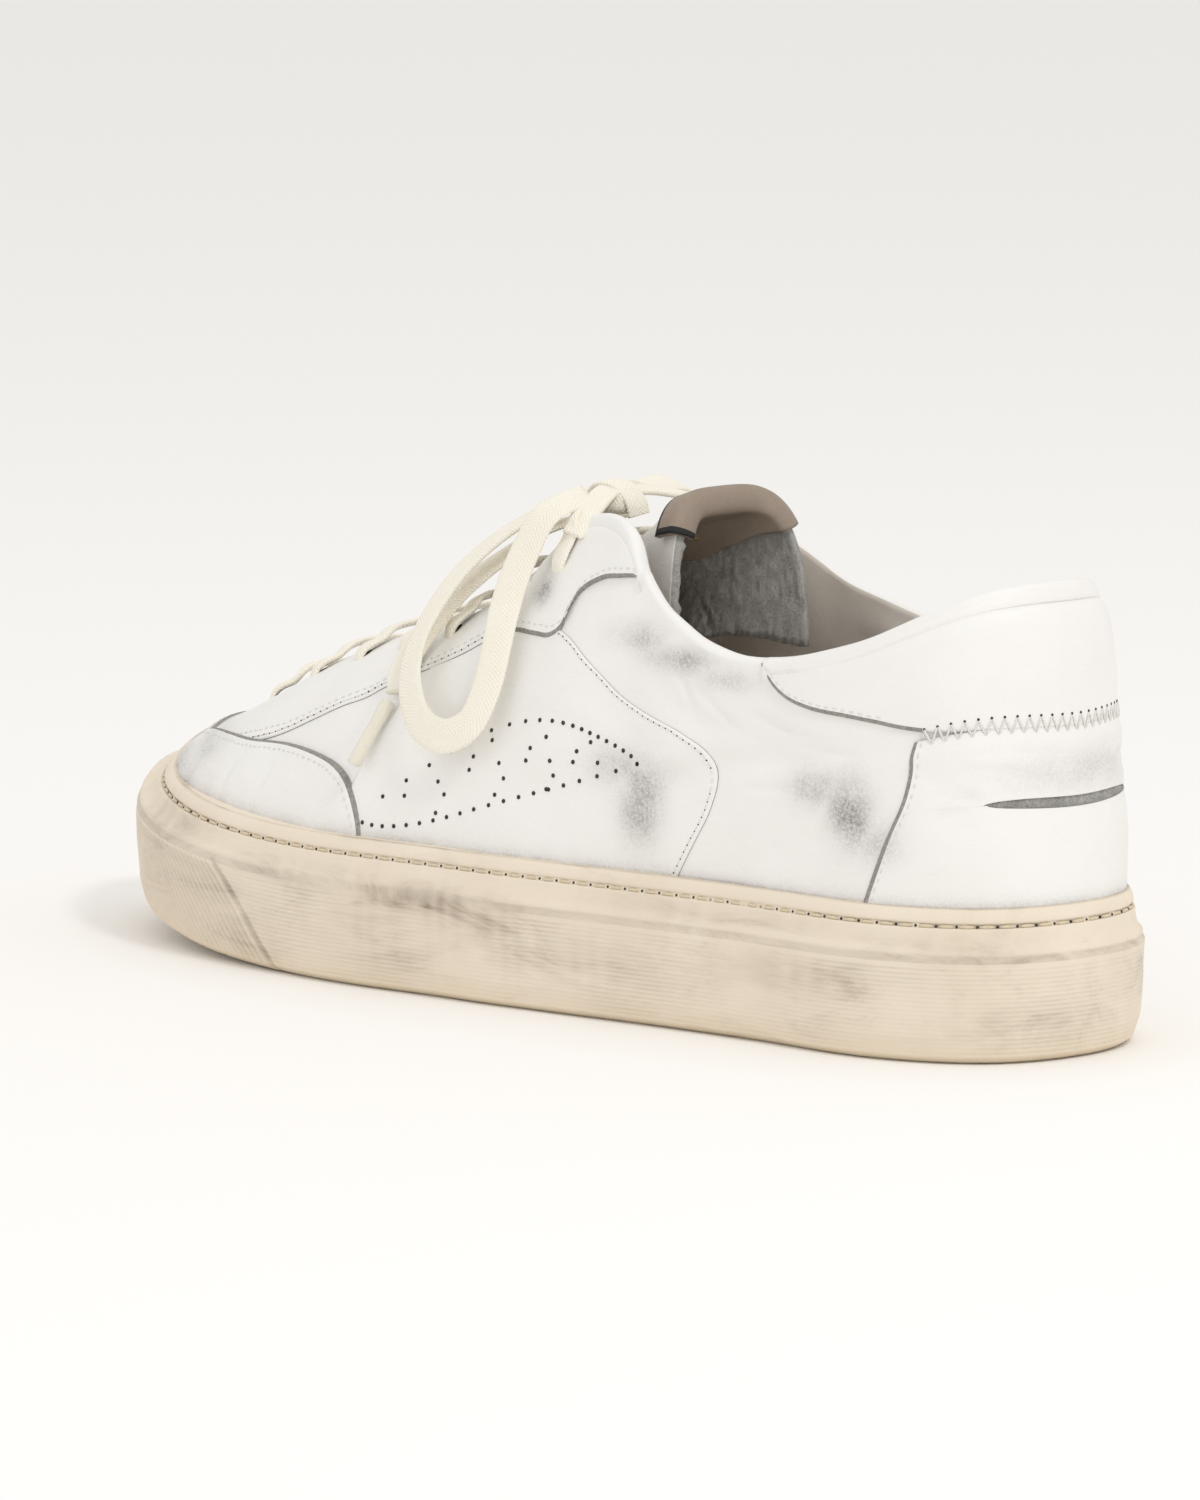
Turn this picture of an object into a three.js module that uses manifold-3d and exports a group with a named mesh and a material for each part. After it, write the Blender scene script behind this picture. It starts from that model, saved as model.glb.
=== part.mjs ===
// Low lace-up sneaker with a leather upper on a rubber cup sole: a left shoe, worn soft.
// Millimetres. +Y points to the toe, +Z up, +X to the inner (medial) side of the foot.
import * as THREE from 'three';
import Module from 'manifold-3d';

const wasm = await Module();
wasm.setup();

// ---------------------------------------------------------------- driving dimensions
const SHOE_LENGTH = 300;
const HALF_LENGTH = SHOE_LENGTH / 2;
const LEDGE_HEIGHT = 24.3;
const RIM_HEIGHT = 34;
const RIM_DROP_AT_TOE = 2;
const TOE_SPRING = 12;
const SPRING_START = 38;
const SPRING_POWER = 2.2;
const HEEL_FLOOR = 24;
const BALL_FLOOR = 15;
const FLOOR_FALL = [-75, 35];
const UPPER_DATUM = 24;
const GAP = 0.3;
const LEATHER_WALL = 2.2;
const COLLAR_PADDING = 3.2;
const EDGE_ROUND = 0.7;
const INSOLE_THICKNESS = 4;
const TONGUE_THICKNESS = 2.6;
const LABEL_THICKNESS = 1.4;
const LACE_WIDTH = 8;
const LACE_THICKNESS = 1.6;
const EYELET_COUNT = 7;
const EYELET_FRONT_Y = 95.5;
const EYELET_BACK_Y = -11;
const EYELET_HEIGHT_ON_PROFILE = 0.88;
const RING_STEPS = 80;
const PROFILE_STEPS = 10;

// Stations from the heel round to the toe. Each has the foot outline on the sole's ledge and the top edge of
// the upper, on the outer and the inner side, then how far the profile rises and leans out at its foot, and
// how far it spreads and drops below its top edge.
const STATIONS = [
  // lateral foot, medial foot, lateral top, medial top, [rise, lean, spread, drop]
  [[0, -150], null, [0, -141, 104], null, [34, 1, 2, 34]],
  [[-26, -141], [25, -141], [-21, -131.5, 101], [20, -131.5, 101], [34, 2, 3, 30]],
  [[-39, -115], [37.5, -114], [-31, -110, 90.5], [30, -110, 91.5], [30, 2, 3, 26]],
  [[-40.5, -88], [37.5, -86], [-34, -88, 84.6], [32, -88, 86], [26, 2, 2, 22]],
  [[-43, -60], [35, -62], [-35, -70, 84.6], [33, -71, 86], [24, 1, 2, 22]],
  [[-46, -38], [33.5, -42], [-34, -55, 90], [33, -55, 89.5], [26, 1, 3, 26]],
  [[-48.5, -20], [34, -24], [-31, -43, 98], [30.5, -41.5, 94], [28, 1, 5, 30]],
  [[-50.5, -4], [35.5, -10], [-27.5, -34.5, 108], [21.5, -30, 103.5], [30, 1, 9, 32]],
  [[-52, 13], [38, 4], [-20, -14, 108], [16, -13, 105], [28, 0, 14, 26]],
  [[-54, 32], [42, 23], [-18.5, 5, 94], [16.5, 5, 93], [24, 0, 20, 16]],
  [[-54.2, 52], [46.5, 44], [-16, 29, 81.5], [15, 29, 81.5], [20, 0, 22, 9]],
  [[-52.5, 75], [50, 66], [-12, 55, 73.8], [12, 55, 73.8], [17, 0, 22, 7]],
  [[-47, 99], [51, 91], [-8, 78, 66.3], [9, 77, 66.3], [14, 3, 22.5, 8]],
  [[-35, 122], [47.5, 115], [-5, 96, 59], [6, 95, 59], [16.5, 8, 20.5, 12]],
  [[-15, 140.5], [37, 135], [-2.5, 105.5, 55.4], [4.5, 105.5, 55.4], [16, 7, 20.5, 14.5]],
  [[10, 149.5], null, [1, 108.5, 54.2], null, [15.5, 5, 19, 9.5]],
].map(([lateral, medial, top, innerTop, bend]) => ({ lateral, medial, top, innerTop, bend }));
const STATION_COUNT = 2 * (STATIONS.length - 1);

// ---------------------------------------------------------------- small vector helpers
const add = (a, b) => a.map((value, i) => value + b[i]);
const sub = (a, b) => a.map((value, i) => value - b[i]);
const scale = (a, factor) => a.map((value) => value * factor);
const length = (a) => Math.hypot(...a);
const unit = (a) => scale(a, 1 / length(a));
const cross = (a, b) => [a[1] * b[2] - a[2] * b[1], a[2] * b[0] - a[0] * b[2], a[0] * b[1] - a[1] * b[0]];
const mix = (a, b, t) => a.map((value, i) => value + (b[i] - value) * t);
const clamp = (value, low, high) => Math.min(high, Math.max(low, value));
const smooth = (low, high, value) => {
  const t = clamp((value - low) / (high - low), 0, 1);
  return t * t * (3 - 2 * t);
};

// A closed cubic B-spline through the given rows, evaluated at t, where row k sits at t = k.
function closedSpline(rows) {
  const count = rows.length;
  let control = rows.map((row) => [...row]);
  for (let pass = 0; pass < 60; pass += 1) {
    control = control.map((_, i) => {
      const around = add(control[(i + 1) % count], control[(i + count - 1) % count]);
      return scale(sub(scale(rows[i], 6), around), 1 / 4);
    });
  }
  return (t) => {
    const wrapped = ((t % count) + count) % count;
    const first = Math.floor(wrapped);
    const f = wrapped - first;
    const weights = [(1 - f) ** 3, 3 * f ** 3 - 6 * f * f + 4, -3 * f ** 3 + 3 * f * f + 3 * f + 1, f ** 3];
    return weights
      .map((weight, k) => scale(control[(first + k - 1 + count) % count], weight / 6))
      .reduce(add);
  };
}

// An open smooth curve through hand-placed points, for straps of leather and laces.
function openCurve(points) {
  const curve = new THREE.CatmullRomCurve3(points.map((p) => new THREE.Vector3(...p)), false, 'centripetal');
  return (t) => curve.getPoint(clamp(t, 0, 1)).toArray();
}

// ---------------------------------------------------------------- closed solids from rings of points
// Faces between neighbouring rings, which all have the same number of points.
function bridgeRings(rings, triangles, wrap) {
  const size = rings[0].length;
  const last = wrap ? rings.length : rings.length - 1;
  for (let j = 0; j < last; j += 1) {
    const here = j * size;
    const next = ((j + 1) % rings.length) * size;
    for (let i = 0; i < size; i += 1) {
      const k = (i + 1) % size;
      triangles.push([here + i, here + k, next + k], [here + i, next + k, next + i]);
    }
  }
}

// A flat or gently bent lid across one ring, in strips from one side of the ring to the other.
function zipCap(start, size, triangles, flipped) {
  const put = (...corners) => {
    const [a, b, c] = corners.map((corner) => start + corner);
    triangles.push(flipped ? [a, c, b] : [a, b, c]);
  };
  const half = size / 2;
  for (let i = 0; i < half; i += 1) {
    const left = i;
    const right = (size - i) % size;
    if (i > 0) {
      put(left, right, left + 1);
    }
    if (i < half - 1) {
      put(left + 1, right, size - i - 1);
    }
  }
}

function solidFromRings(rings, wrap = false) {
  const triangles = [];
  const size = rings[0].length;
  bridgeRings(rings, triangles, wrap);
  if (!wrap) {
    zipCap(0, size, triangles, false);
    zipCap((rings.length - 1) * size, size, triangles, true);
  }
  return orientOutward(rings.flat(), triangles);
}

function orientOutward(points, triangles) {
  let volume = 0;
  for (const [a, b, c] of triangles) {
    const normal = cross(points[b], points[c]);
    volume += points[a][0] * normal[0] + points[a][1] * normal[1] + points[a][2] * normal[2];
  }
  const faces = volume > 0 ? triangles : triangles.map(([a, b, c]) => [a, c, b]);
  return { points, triangles: faces };
}

function toManifold({ points, triangles }) {
  const mesh = new wasm.Mesh({
    numProp: 3,
    vertProperties: new Float32Array(points.flat()),
    triVerts: new Uint32Array(triangles.flat()),
  });
  return new wasm.Manifold(mesh);
}

function fromManifold(manifold) {
  const mesh = manifold.getMesh();
  const geometry = new THREE.BufferGeometry();
  geometry.setAttribute('position', new THREE.BufferAttribute(new Float32Array(mesh.vertProperties), 3));
  geometry.setIndex(new THREE.BufferAttribute(new Uint32Array(mesh.triVerts), 1));
  geometry.computeVertexNormals();
  return geometry;
}

function toGeometry({ points, triangles }) {
  const geometry = new THREE.BufferGeometry();
  geometry.setAttribute('position', new THREE.BufferAttribute(new Float32Array(points.flat()), 3));
  geometry.setIndex(triangles.flat());
  geometry.computeVertexNormals();
  return geometry;
}

// ---------------------------------------------------------------- outline, spring and upper surface
const innerStations = STATIONS.filter((station) => station.medial).reverse();
const footOutline = closedSpline([...STATIONS.map((s) => s.lateral), ...innerStations.map((s) => s.medial)]);
const topEdge = closedSpline([...STATIONS.map((s) => s.top), ...innerStations.map((s) => s.innerTop)]);
const profileBend = closedSpline([...STATIONS.map((s) => s.bend), ...innerStations.map((s) => s.bend)]);

const springPart = (y) => clamp((y - SPRING_START) / (HALF_LENGTH - SPRING_START), 0, 2);
const springAt = (y) => TOE_SPRING * springPart(y) ** SPRING_POWER;
const frontness = (y) => clamp((y - 40) / 110, 0, 1) ** 1.5;
const rimInset = (y) => 3.2 + 8.1 * frontness(y);
const rimHeight = (y) => RIM_HEIGHT - RIM_DROP_AT_TOE * frontness(y) + springAt(y);
const floorHeight = (y) => HEEL_FLOOR + (BALL_FLOOR - HEEL_FLOOR) * smooth(...FLOOR_FALL, y) + springAt(y);

function outlineNormal(t) {
  const [dx, dy] = sub(footOutline(t + 0.001), footOutline(t - 0.001));
  return unit([-dy, dx]);
}

// A point on the foot outline, moved in from the ledge by the given inset.
function insetOutline(t, inset) {
  const point = footOutline(t);
  return sub(point, scale(outlineNormal(t), inset));
}

// The outside of the upper: t runs round the shoe, v from the feather edge (0) to the top edge (1).
function upperSurface(t, v) {
  const outward = outlineNormal(t);
  const [x, y] = insetOutline(t, rimInset(footOutline(t)[1]) + 1.6);
  const [rise, lean, spread, drop] = profileBend(t);
  const top = topEdge(t);
  const foot = [x, y, floorHeight(y) + GAP];
  const lowHandle = [x + outward[0] * lean, y + outward[1] * lean, UPPER_DATUM + springAt(y) + rise];
  const highHandle = [top[0] + outward[0] * spread, top[1] + outward[1] * spread, top[2] - drop];
  const weights = [(1 - v) ** 3, 3 * (1 - v) ** 2 * v, 3 * (1 - v) * v * v, v ** 3];
  return [foot, lowHandle, highHandle, top].map((p, i) => scale(p, weights[i])).reduce(add);
}

function upperNormal(t, v) {
  const step = 0.004;
  const along = sub(upperSurface(t + step, v), upperSurface(t - step, v));
  const up = sub(upperSurface(t, Math.min(1, v + step)), upperSurface(t, Math.max(0, v - step)));
  return unit(cross(up, along));
}

const offsetSurface = (t, v, distance) => add(upperSurface(t, v), scale(upperNormal(t, v), distance));

const RING_PARAMETERS = Array.from({ length: RING_STEPS }, (_, i) => (i * STATION_COUNT) / RING_STEPS);
const ringAt = (pointAt) => RING_PARAMETERS.map(pointAt);

// Where the top edge of one side reaches a given y, between the eyelet flap and the throat's front end.
function parameterAtThroat(y, side) {
  let low = side > 0 ? STATION_COUNT - 15 : 15;
  let high = side > 0 ? STATION_COUNT - 7.6 : 7.6;
  for (let pass = 0; pass < 40; pass += 1) {
    const middle = (low + high) / 2;
    if (topEdge(middle)[1] > y) {
      low = middle;
    } else {
      high = middle;
    }
  }
  return (low + high) / 2;
}

// ---------------------------------------------------------------- upper
// Leather wall, thicker where the collar is padded from the back of the heel to below the ankle.
function wallThickness(t, v) {
  const fromHeel = Math.min(t, STATION_COUNT - t);
  const alongCollar = 1 - smooth(4.2, 7, fromHeel);
  const upCollar = smooth(0.5, 0.72, v) * (1 - 0.55 * smooth(0.9, 1, v));
  return LEATHER_WALL + COLLAR_PADDING * alongCollar * upCollar;
}

function makeUpper() {
  const levels = Array.from({ length: PROFILE_STEPS + 1 }, (_, j) => j / PROFILE_STEPS);
  const outside = levels.map((v) => ringAt((t) => upperSurface(t, v)));
  const inside = levels.map((v) => ringAt((t) => offsetSurface(t, v, -wallThickness(t, v)))).reverse();
  const edge = ringAt((t) => {
    const up = unit(sub(upperSurface(t, 1), upperSurface(t, 0.98)));
    return add(offsetSurface(t, 1, -wallThickness(t, 1) / 2), scale(up, EDGE_ROUND));
  });
  return toGeometry(solidFromRings([...outside, edge, ...inside], true));
}

// ---------------------------------------------------------------- cup sole
// Sidewall rings from the tread up: height above the toe spring and inset from the ledge.
const SIDEWALL = [
  [0, 4.6],
  [1.6, 2.2],
  [6, 0.9],
  [15, 0.2],
  [LEDGE_HEIGHT - 0.7, 0],
  [LEDGE_HEIGHT + 0.4, 1.1],
];
const TREAD_DEPTH = 2;
const TREAD_BORDER = 11;
const CHEVRON_WIDTH = 2.6;
const CHEVRON_POINT = 7;
const FOREFOOT_GROOVES = { first: 8, last: 112, pitch: 13 };
const HEEL_GROOVES = { first: -136, last: -84, pitch: 13 };
const ARCH_HOLLOW = { centre: [-6, -38], halfWidth: 20, halfLength: 26, depth: 2 };

function soleRing(height, insetFor) {
  return ringAt((t) => {
    const [x, y] = insetOutline(t, insetFor(footOutline(t)[1]));
    return [x, y, height(y)];
  });
}

function outerSole() {
  const rings = SIDEWALL.map(([height, inset]) => soleRing((y) => height + springAt(y), () => inset));
  rings.push(soleRing(rimHeight, rimInset));
  return toManifold(solidFromRings(rings));
}

// The hollow of the cup follows the upper all round, one gap away from it.
function cupHollow() {
  const floor = ringAt((t) => {
    const [x, y] = offsetSurface(t, 0, GAP);
    return [x, y, floorHeight(y)];
  });
  const walls = [0.1, 0.2, 0.3, 0.4, 0.5, 0.6].map((v) => ringAt((t) => offsetSurface(t, v, GAP)));
  return toManifold(solidFromRings([floor, ...walls]));
}

// One shallow V across the tread, tall enough to follow the toe spring.
function chevron(y) {
  const reach = 60;
  const outline = new THREE.Shape([
    new THREE.Vector2(-reach, y - CHEVRON_POINT * 2),
    new THREE.Vector2(0, y),
    new THREE.Vector2(reach, y - CHEVRON_POINT * 2),
    new THREE.Vector2(reach, y - CHEVRON_POINT * 2 + CHEVRON_WIDTH),
    new THREE.Vector2(0, y + CHEVRON_WIDTH),
    new THREE.Vector2(-reach, y - CHEVRON_POINT * 2 + CHEVRON_WIDTH),
  ]);
  const depth = TREAD_DEPTH + springAt(y) + 1;
  return prism(outline, -1, depth);
}

function prism(outline, base, depth) {
  const geometry = new THREE.ExtrudeGeometry(outline, { depth, bevelEnabled: false, curveSegments: 10 });
  return toManifold(weld(geometry, base));
}

// Merges the corners of a three.js geometry that share a place, and lifts it to its base height.
function weld(geometry, base) {
  const source = geometry.index ? geometry.toNonIndexed() : geometry;
  const position = source.getAttribute('position');
  const known = new Map();
  const points = [];
  const indices = [];
  for (let i = 0; i < position.count; i += 1) {
    const point = [position.getX(i), position.getY(i), position.getZ(i) + base];
    const key = point.map((value) => value.toFixed(4)).join();
    if (!known.has(key)) {
      known.set(key, points.length);
      points.push(point);
    }
    indices.push(known.get(key));
  }
  const triangles = [];
  for (let i = 0; i < indices.length; i += 3) {
    triangles.push(indices.slice(i, i + 3));
  }
  return { points, triangles };
}

function treadGrooves() {
  const border = ringAt((t) => insetOutline(t, TREAD_BORDER));
  const bounds = [-2, TREAD_DEPTH + TOE_SPRING].map((z) => border.map(([x, y]) => [x, y, z]));
  const inside = toManifold(solidFromRings(bounds));
  const cutters = [];
  for (const { first, last, pitch } of [FOREFOOT_GROOVES, HEEL_GROOVES]) {
    for (let y = first; y <= last; y += pitch) {
      cutters.push(chevron(y));
    }
  }
  return cutters.reduce((all, cutter) => all.add(cutter)).intersect(inside);
}

function archHollow() {
  const { centre, halfWidth, halfLength, depth } = ARCH_HOLLOW;
  const outline = new THREE.Shape();
  outline.absellipse(centre[0], centre[1], halfWidth, halfLength, 0, Math.PI * 2, false, 0);
  return prism(outline, -1, depth + 1);
}

function makeCupSole() {
  return fromManifold(outerSole().subtract(cupHollow()).subtract(treadGrooves()).subtract(archHollow()));
}

// ---------------------------------------------------------------- insole
// A thin bed on the cup's floor, inside the upper, with a softened top edge.
function makeInsole() {
  const rings = [
    [GAP, 0.5],
    [INSOLE_THICKNESS - 1, 0.6],
    [INSOLE_THICKNESS, 1.8],
  ].map(([height, inset]) => ringAt((t) => {
    const y = footOutline(t)[1];
    const [px, py] = insetOutline(t, rimInset(y) + 1.6 + LEATHER_WALL + inset + 0.8 * frontness(y));
    return [px, py, floorHeight(py) + height];
  }));
  return toGeometry(solidFromRings(rings));
}

// ---------------------------------------------------------------- tongue
// Cross sections of the tongue from its front end to its free end.
const TONGUE_SECTIONS = [
  // y, centre x, crown height, half width, side drop, how far the outer and the inner side sweep back
  [112, 2, 46, 9, 2, 0, 0],
  [100, 1.5, 52.8, 14, 6, 0, 0],
  [78, 1, 63.6, 18, 11, 0, 0],
  [55, 0.5, 71.8, 21, 14, 0, 0],
  [29, 0, 79.8, 22, 18, 0, 0],
  [5, -0.5, 91.2, 18.5, 21, 0, 0],
  [-14, -1.5, 102.4, 14.8, 25, 0, 0],
  [-26, -1.5, 109.8, 15.8, 30, 1, 3],
  [-36, -1, 113.4, 19, 35, 3, 9],
];
const TONGUE_SQUARENESS = 0.8;
// How much flatter the arch gets towards the free end, where the label keeps it open.
const TONGUE_END_FLATNESS = 0.7;
const TONGUE_LENGTH_STEPS = 13;
const TONGUE_ARC_STEPS = 14;

const tongueSpine = openCurve(TONGUE_SECTIONS.map(([y, x, crown]) => [x, y, crown]));

// The tongue's upper face: s from its front end (0) to its free end (1), a across it from -1 to 1.
function tongueSurface(s, a) {
  const [x, y, crown] = tongueSpine(s);
  const index = s * (TONGUE_SECTIONS.length - 1);
  const k = Math.min(TONGUE_SECTIONS.length - 2, Math.floor(index));
  const [halfWidth, drop, ...sweeps] = mix(TONGUE_SECTIONS[k], TONGUE_SECTIONS[k + 1], index - k).slice(3);
  const angle = (a * Math.PI) / 2;
  const down = (1 - Math.cos(angle)) ** (1 + TONGUE_END_FLATNESS * smooth(0.78, 0.97, s));
  const swept = Math.sin(angle) ** 2;
  const across = Math.sign(angle) * Math.abs(Math.sin(angle)) ** TONGUE_SQUARENESS;
  return [x + across * halfWidth, y - swept * (a < 0 ? sweeps[0] : sweeps[1]), crown - drop * down];
}

function tongueNormal(s, a) {
  const step = 0.01;
  const along = sub(tongueSurface(Math.min(1, s + step), a), tongueSurface(Math.max(0, s - step), a));
  const acrossLow = Math.max(-1, a - step);
  const across = sub(tongueSurface(s, Math.min(1, a + step)), tongueSurface(s, acrossLow));
  return unit(cross(along, across));
}

// A thin closed sheet: each ring goes out along one face and comes back along the other.
function sheetFromRings(rings) {
  const triangles = [];
  const size = rings[0].length;
  bridgeRings(rings, triangles, false);
  for (const [start, flipped] of [[0, true], [(rings.length - 1) * size, false]]) {
    for (let i = 0; i < size / 2 - 1; i += 1) {
      const [a, b, c, d] = [i, i + 1, size - 2 - i, size - 1 - i].map((index) => start + index);
      triangles.push(...(flipped ? [[a, c, b], [a, d, c]] : [[a, b, c], [a, c, d]]));
    }
  }
  return orientOutward(rings.flat(), triangles);
}

function stepsBetween(low, high, count) {
  return Array.from({ length: count + 1 }, (_, i) => low + ((high - low) * i) / count);
}

function makeTongue() {
  const across = stepsBetween(-1, 1, TONGUE_ARC_STEPS);
  const rings = stepsBetween(0, 1, TONGUE_LENGTH_STEPS).map((s) => {
    const upper = across.map((a) => tongueSurface(s, a));
    const lower = across.map((a) => add(tongueSurface(s, a), scale(tongueNormal(s, a), -TONGUE_THICKNESS)));
    return [...upper, ...lower.reverse()];
  });
  return toGeometry(sheetFromRings(rings));
}

// The leather label folds over the tongue's free end: a short leg on top and a rounded flap inside.
const LABEL_HALF_WIDTH = 0.6;
const LABEL_TOP_REACH = 0.06;
const LABEL_FLAP_REACH = 0.3;
const LABEL_GAP = 0.62;
const LABEL_STEPS = 10;

function makeTongueLabel() {
  const rings = stepsBetween(-LABEL_HALF_WIDTH, LABEL_HALF_WIDTH, LABEL_STEPS).map((a) => {
    const roundness = Math.sqrt(1 - 0.9 * (a / LABEL_HALF_WIDTH) ** 2);
    const end = tongueSurface(1, a);
    const endNormal = tongueNormal(1, a);
    const beyond = unit(sub(end, tongueSurface(0.97, a)));
    const layer = (gap) => {
      const above = stepsBetween(1 - LABEL_TOP_REACH, 1, 2);
      const below = stepsBetween(1, 1 - LABEL_FLAP_REACH * roundness, 6);
      const fold = [gap, -TONGUE_THICKNESS - gap].map((height) => (
        add(add(end, scale(beyond, gap)), scale(endNormal, height))
      ));
      return [
        ...above.map((s) => add(tongueSurface(s, a), scale(tongueNormal(s, a), gap))),
        ...fold,
        ...below.map((s) => add(tongueSurface(s, a), scale(tongueNormal(s, a), -TONGUE_THICKNESS - gap))),
      ];
    };
    return [...layer(LABEL_GAP + LABEL_THICKNESS), ...layer(LABEL_GAP).reverse()];
  });
  return toGeometry(sheetFromRings(rings));
}

// ---------------------------------------------------------------- laces
// A flat lace along a route: an eight-sided section, wide across the route and thin along its face direction.
function flatLace(route, faces, steps, width = LACE_WIDTH, thickness = LACE_THICKNESS) {
  const rings = [];
  for (let j = 0; j <= steps; j += 1) {
    const t = j / steps;
    const forward = unit(sub(route(Math.min(1, t + 0.01)), route(Math.max(0, t - 0.01))));
    const side = unit(cross(forward, faces(t)));
    const face = cross(side, forward);
    const section = [];
    for (let k = 0; k < 8; k += 1) {
      const angle = ((k + 0.5) * Math.PI) / 4;
      const acrossPart = (Math.cos(angle) / Math.cos(Math.PI / 8)) * (width / 2);
      const facePart = (Math.sin(angle) / Math.cos(Math.PI / 8)) * (thickness / 2);
      section.push(add(route(t), add(scale(side, acrossPart), scale(face, facePart))));
    }
    rings.push(section);
  }
  return solidFromRings(rings);
}

// Height of a lace's centre above the leather that it crosses.
const LACE_CLEARANCE = LACE_THICKNESS / 2 + 1.2;
const BAR_WIDTH = 6.4;
const BAR_CROWN = 1.2;
const TOP_BAR_SAG = -3.6;

function laceBar(index) {
  const y = EYELET_FRONT_Y + ((EYELET_BACK_Y - EYELET_FRONT_Y) * index) / (EYELET_COUNT - 1);
  const levels = [[EYELET_HEIGHT_ON_PROFILE, 0], [0.94, 0], [1, 1.4 * EDGE_ROUND]];
  const [left, right] = [-1, 1].map((side) => {
    const t = parameterAtThroat(y, side);
    const points = levels.map(([v, extra]) => offsetSurface(t, v, LACE_CLEARANCE + extra));
    return { points, faces: levels.map(([v]) => upperNormal(t, v)) };
  });
  const sag = index === EYELET_COUNT - 1 ? TOP_BAR_SAG : BAR_CROWN;
  const parts = [0.36, 0.5, 0.64];
  const middle = parts.map((part) => add(mix(left.points[2], right.points[2], part), [0, 0, sag]));
  const crownFaces = parts.map(() => unit([0, 0.25, 1]));
  const route = openCurve([...left.points, ...middle, ...right.points.reverse()]);
  const faces = openCurve([...left.faces, ...crownFaces, ...right.faces.reverse()]);
  return toGeometry(flatLace(route, faces, 14, BAR_WIDTH));
}

// Routes of the free laces, from the knot outwards. The outer loop and end lie on the lateral side.
const KNOT_CENTRE = [-9, -10.5, 110.4];
const KNOT_RADII = [6.6, 5.6, 3.2];
const LATERAL_LOOP = [
  [-13, -3, 111.5],
  [-16, 7, 107],
  [-20, 17, 100.3],
  [-25, 23.5, 92.8],
  [-31.3, 26, 84.3],
  [-38.5, 24.5, 75.8],
  [-44.3, 19.5, 67.8],
  [-47.5, 12, 61],
  [-48, 3.5, 59.5],
  [-46.5, -2.5, 63],
  [-43, -4, 70.5],
  [-39, -3, 79],
  [-34, -1, 88.5],
  [-29.5, -1.5, 98.5],
  [-25, -5, 108.5],
  [-17, -9.5, 112.6],
];
const LATERAL_LOOP_FACES = [
  [-0.3, 0.5, 0.9],
  [-0.9, 0.3, 0.4],
  [-1, 0, 0.2],
  [-0.95, -0.2, 0.3],
  [-0.5, -0.2, 0.9],
];
const LATERAL_END = [
  [-12, -3, 106.3],
  [-13.5, 8, 102.5],
  [-17, 18.5, 95.5],
  [-22.5, 27.5, 87],
  [-29.5, 31.5, 77.5],
  [-36, 31.5, 70],
  [-39.5, 30.5, 66],
];
const LATERAL_END_FACES = [[-0.2, 0.5, 0.9], [-0.7, 0.3, 0.7], [-0.95, 0, 0.3], [-1, 0, 0.1]];
const LATERAL_AGLET = [[-40.9, 30.2, 64.2], [-48.5, 34, 50]];
const MEDIAL_LOOP = [
  [-3, -2.5, 112],
  [1.5, 6, 108.5],
  [6, 14, 104.3],
  [12.5, 20.5, 98],
  [21.5, 24, 91],
  [30.8, 23.5, 82],
  [37.8, 19.5, 72.5],
  [40, 12, 63.5],
  [40, 3, 60.5],
  [38, -4, 63.5],
  [34.5, -7, 71],
  [31.5, -7, 80],
  [28.5, -5.5, 90],
  [25, -3.8, 101],
  [17, -4.8, 111.2],
  [1, -9, 112.6],
];
const MEDIAL_LOOP_FACES = [
  [0.3, 0.5, 0.9],
  [0.9, 0.3, 0.4],
  [1, 0, 0.2],
  [0.95, -0.2, 0.3],
  [0.3, -0.2, 0.9],
];
const MEDIAL_END = [
  [-1.5, -2.5, 106.3],
  [2, 8, 102.5],
  [7, 17.5, 97.5],
  [14, 26, 91.5],
  [21.5, 31, 84],
  [28, 31.5, 76],
  [32, 30, 70],
];
const MEDIAL_END_FACES = [[0.2, 0.5, 0.9], [0.7, 0.3, 0.7], [0.95, 0, 0.3], [1, 0, 0.1]];
const MEDIAL_AGLET = [[33.6, 29.6, 68.2], [41.4, 32.5, 53]];
const AGLET_RADIUS = 1.7;
const AGLET_SIDES = 10;

function looseLace(points, faceRows, steps) {
  return toGeometry(flatLace(openCurve(points), openCurve(faceRows), steps));
}

function makeAglet([start, end]) {
  const direction = new THREE.Vector3(...unit(sub(end, start)));
  const span = length(sub(end, start));
  const geometry = new THREE.CylinderGeometry(AGLET_RADIUS, AGLET_RADIUS, span, AGLET_SIDES);
  geometry.deleteAttribute('normal');
  geometry.deleteAttribute('uv');
  geometry.applyQuaternion(new THREE.Quaternion().setFromUnitVectors(new THREE.Vector3(0, 1, 0), direction));
  geometry.translate(...mix(start, end, 0.5));
  const { points, triangles } = weld(geometry, 0);
  return toGeometry(orientOutward(points, triangles));
}

function makeKnot() {
  const geometry = new THREE.SphereGeometry(1, 14, 8);
  geometry.deleteAttribute('normal');
  geometry.deleteAttribute('uv');
  const { points, triangles } = weld(geometry, 0);
  const solid = triangles.filter(([a, b, c]) => a !== b && b !== c && a !== c);
  const placed = points.map((p) => add(p.map((value, i) => value * KNOT_RADII[i]), KNOT_CENTRE));
  return toGeometry(orientOutward(placed, solid));
}

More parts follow.
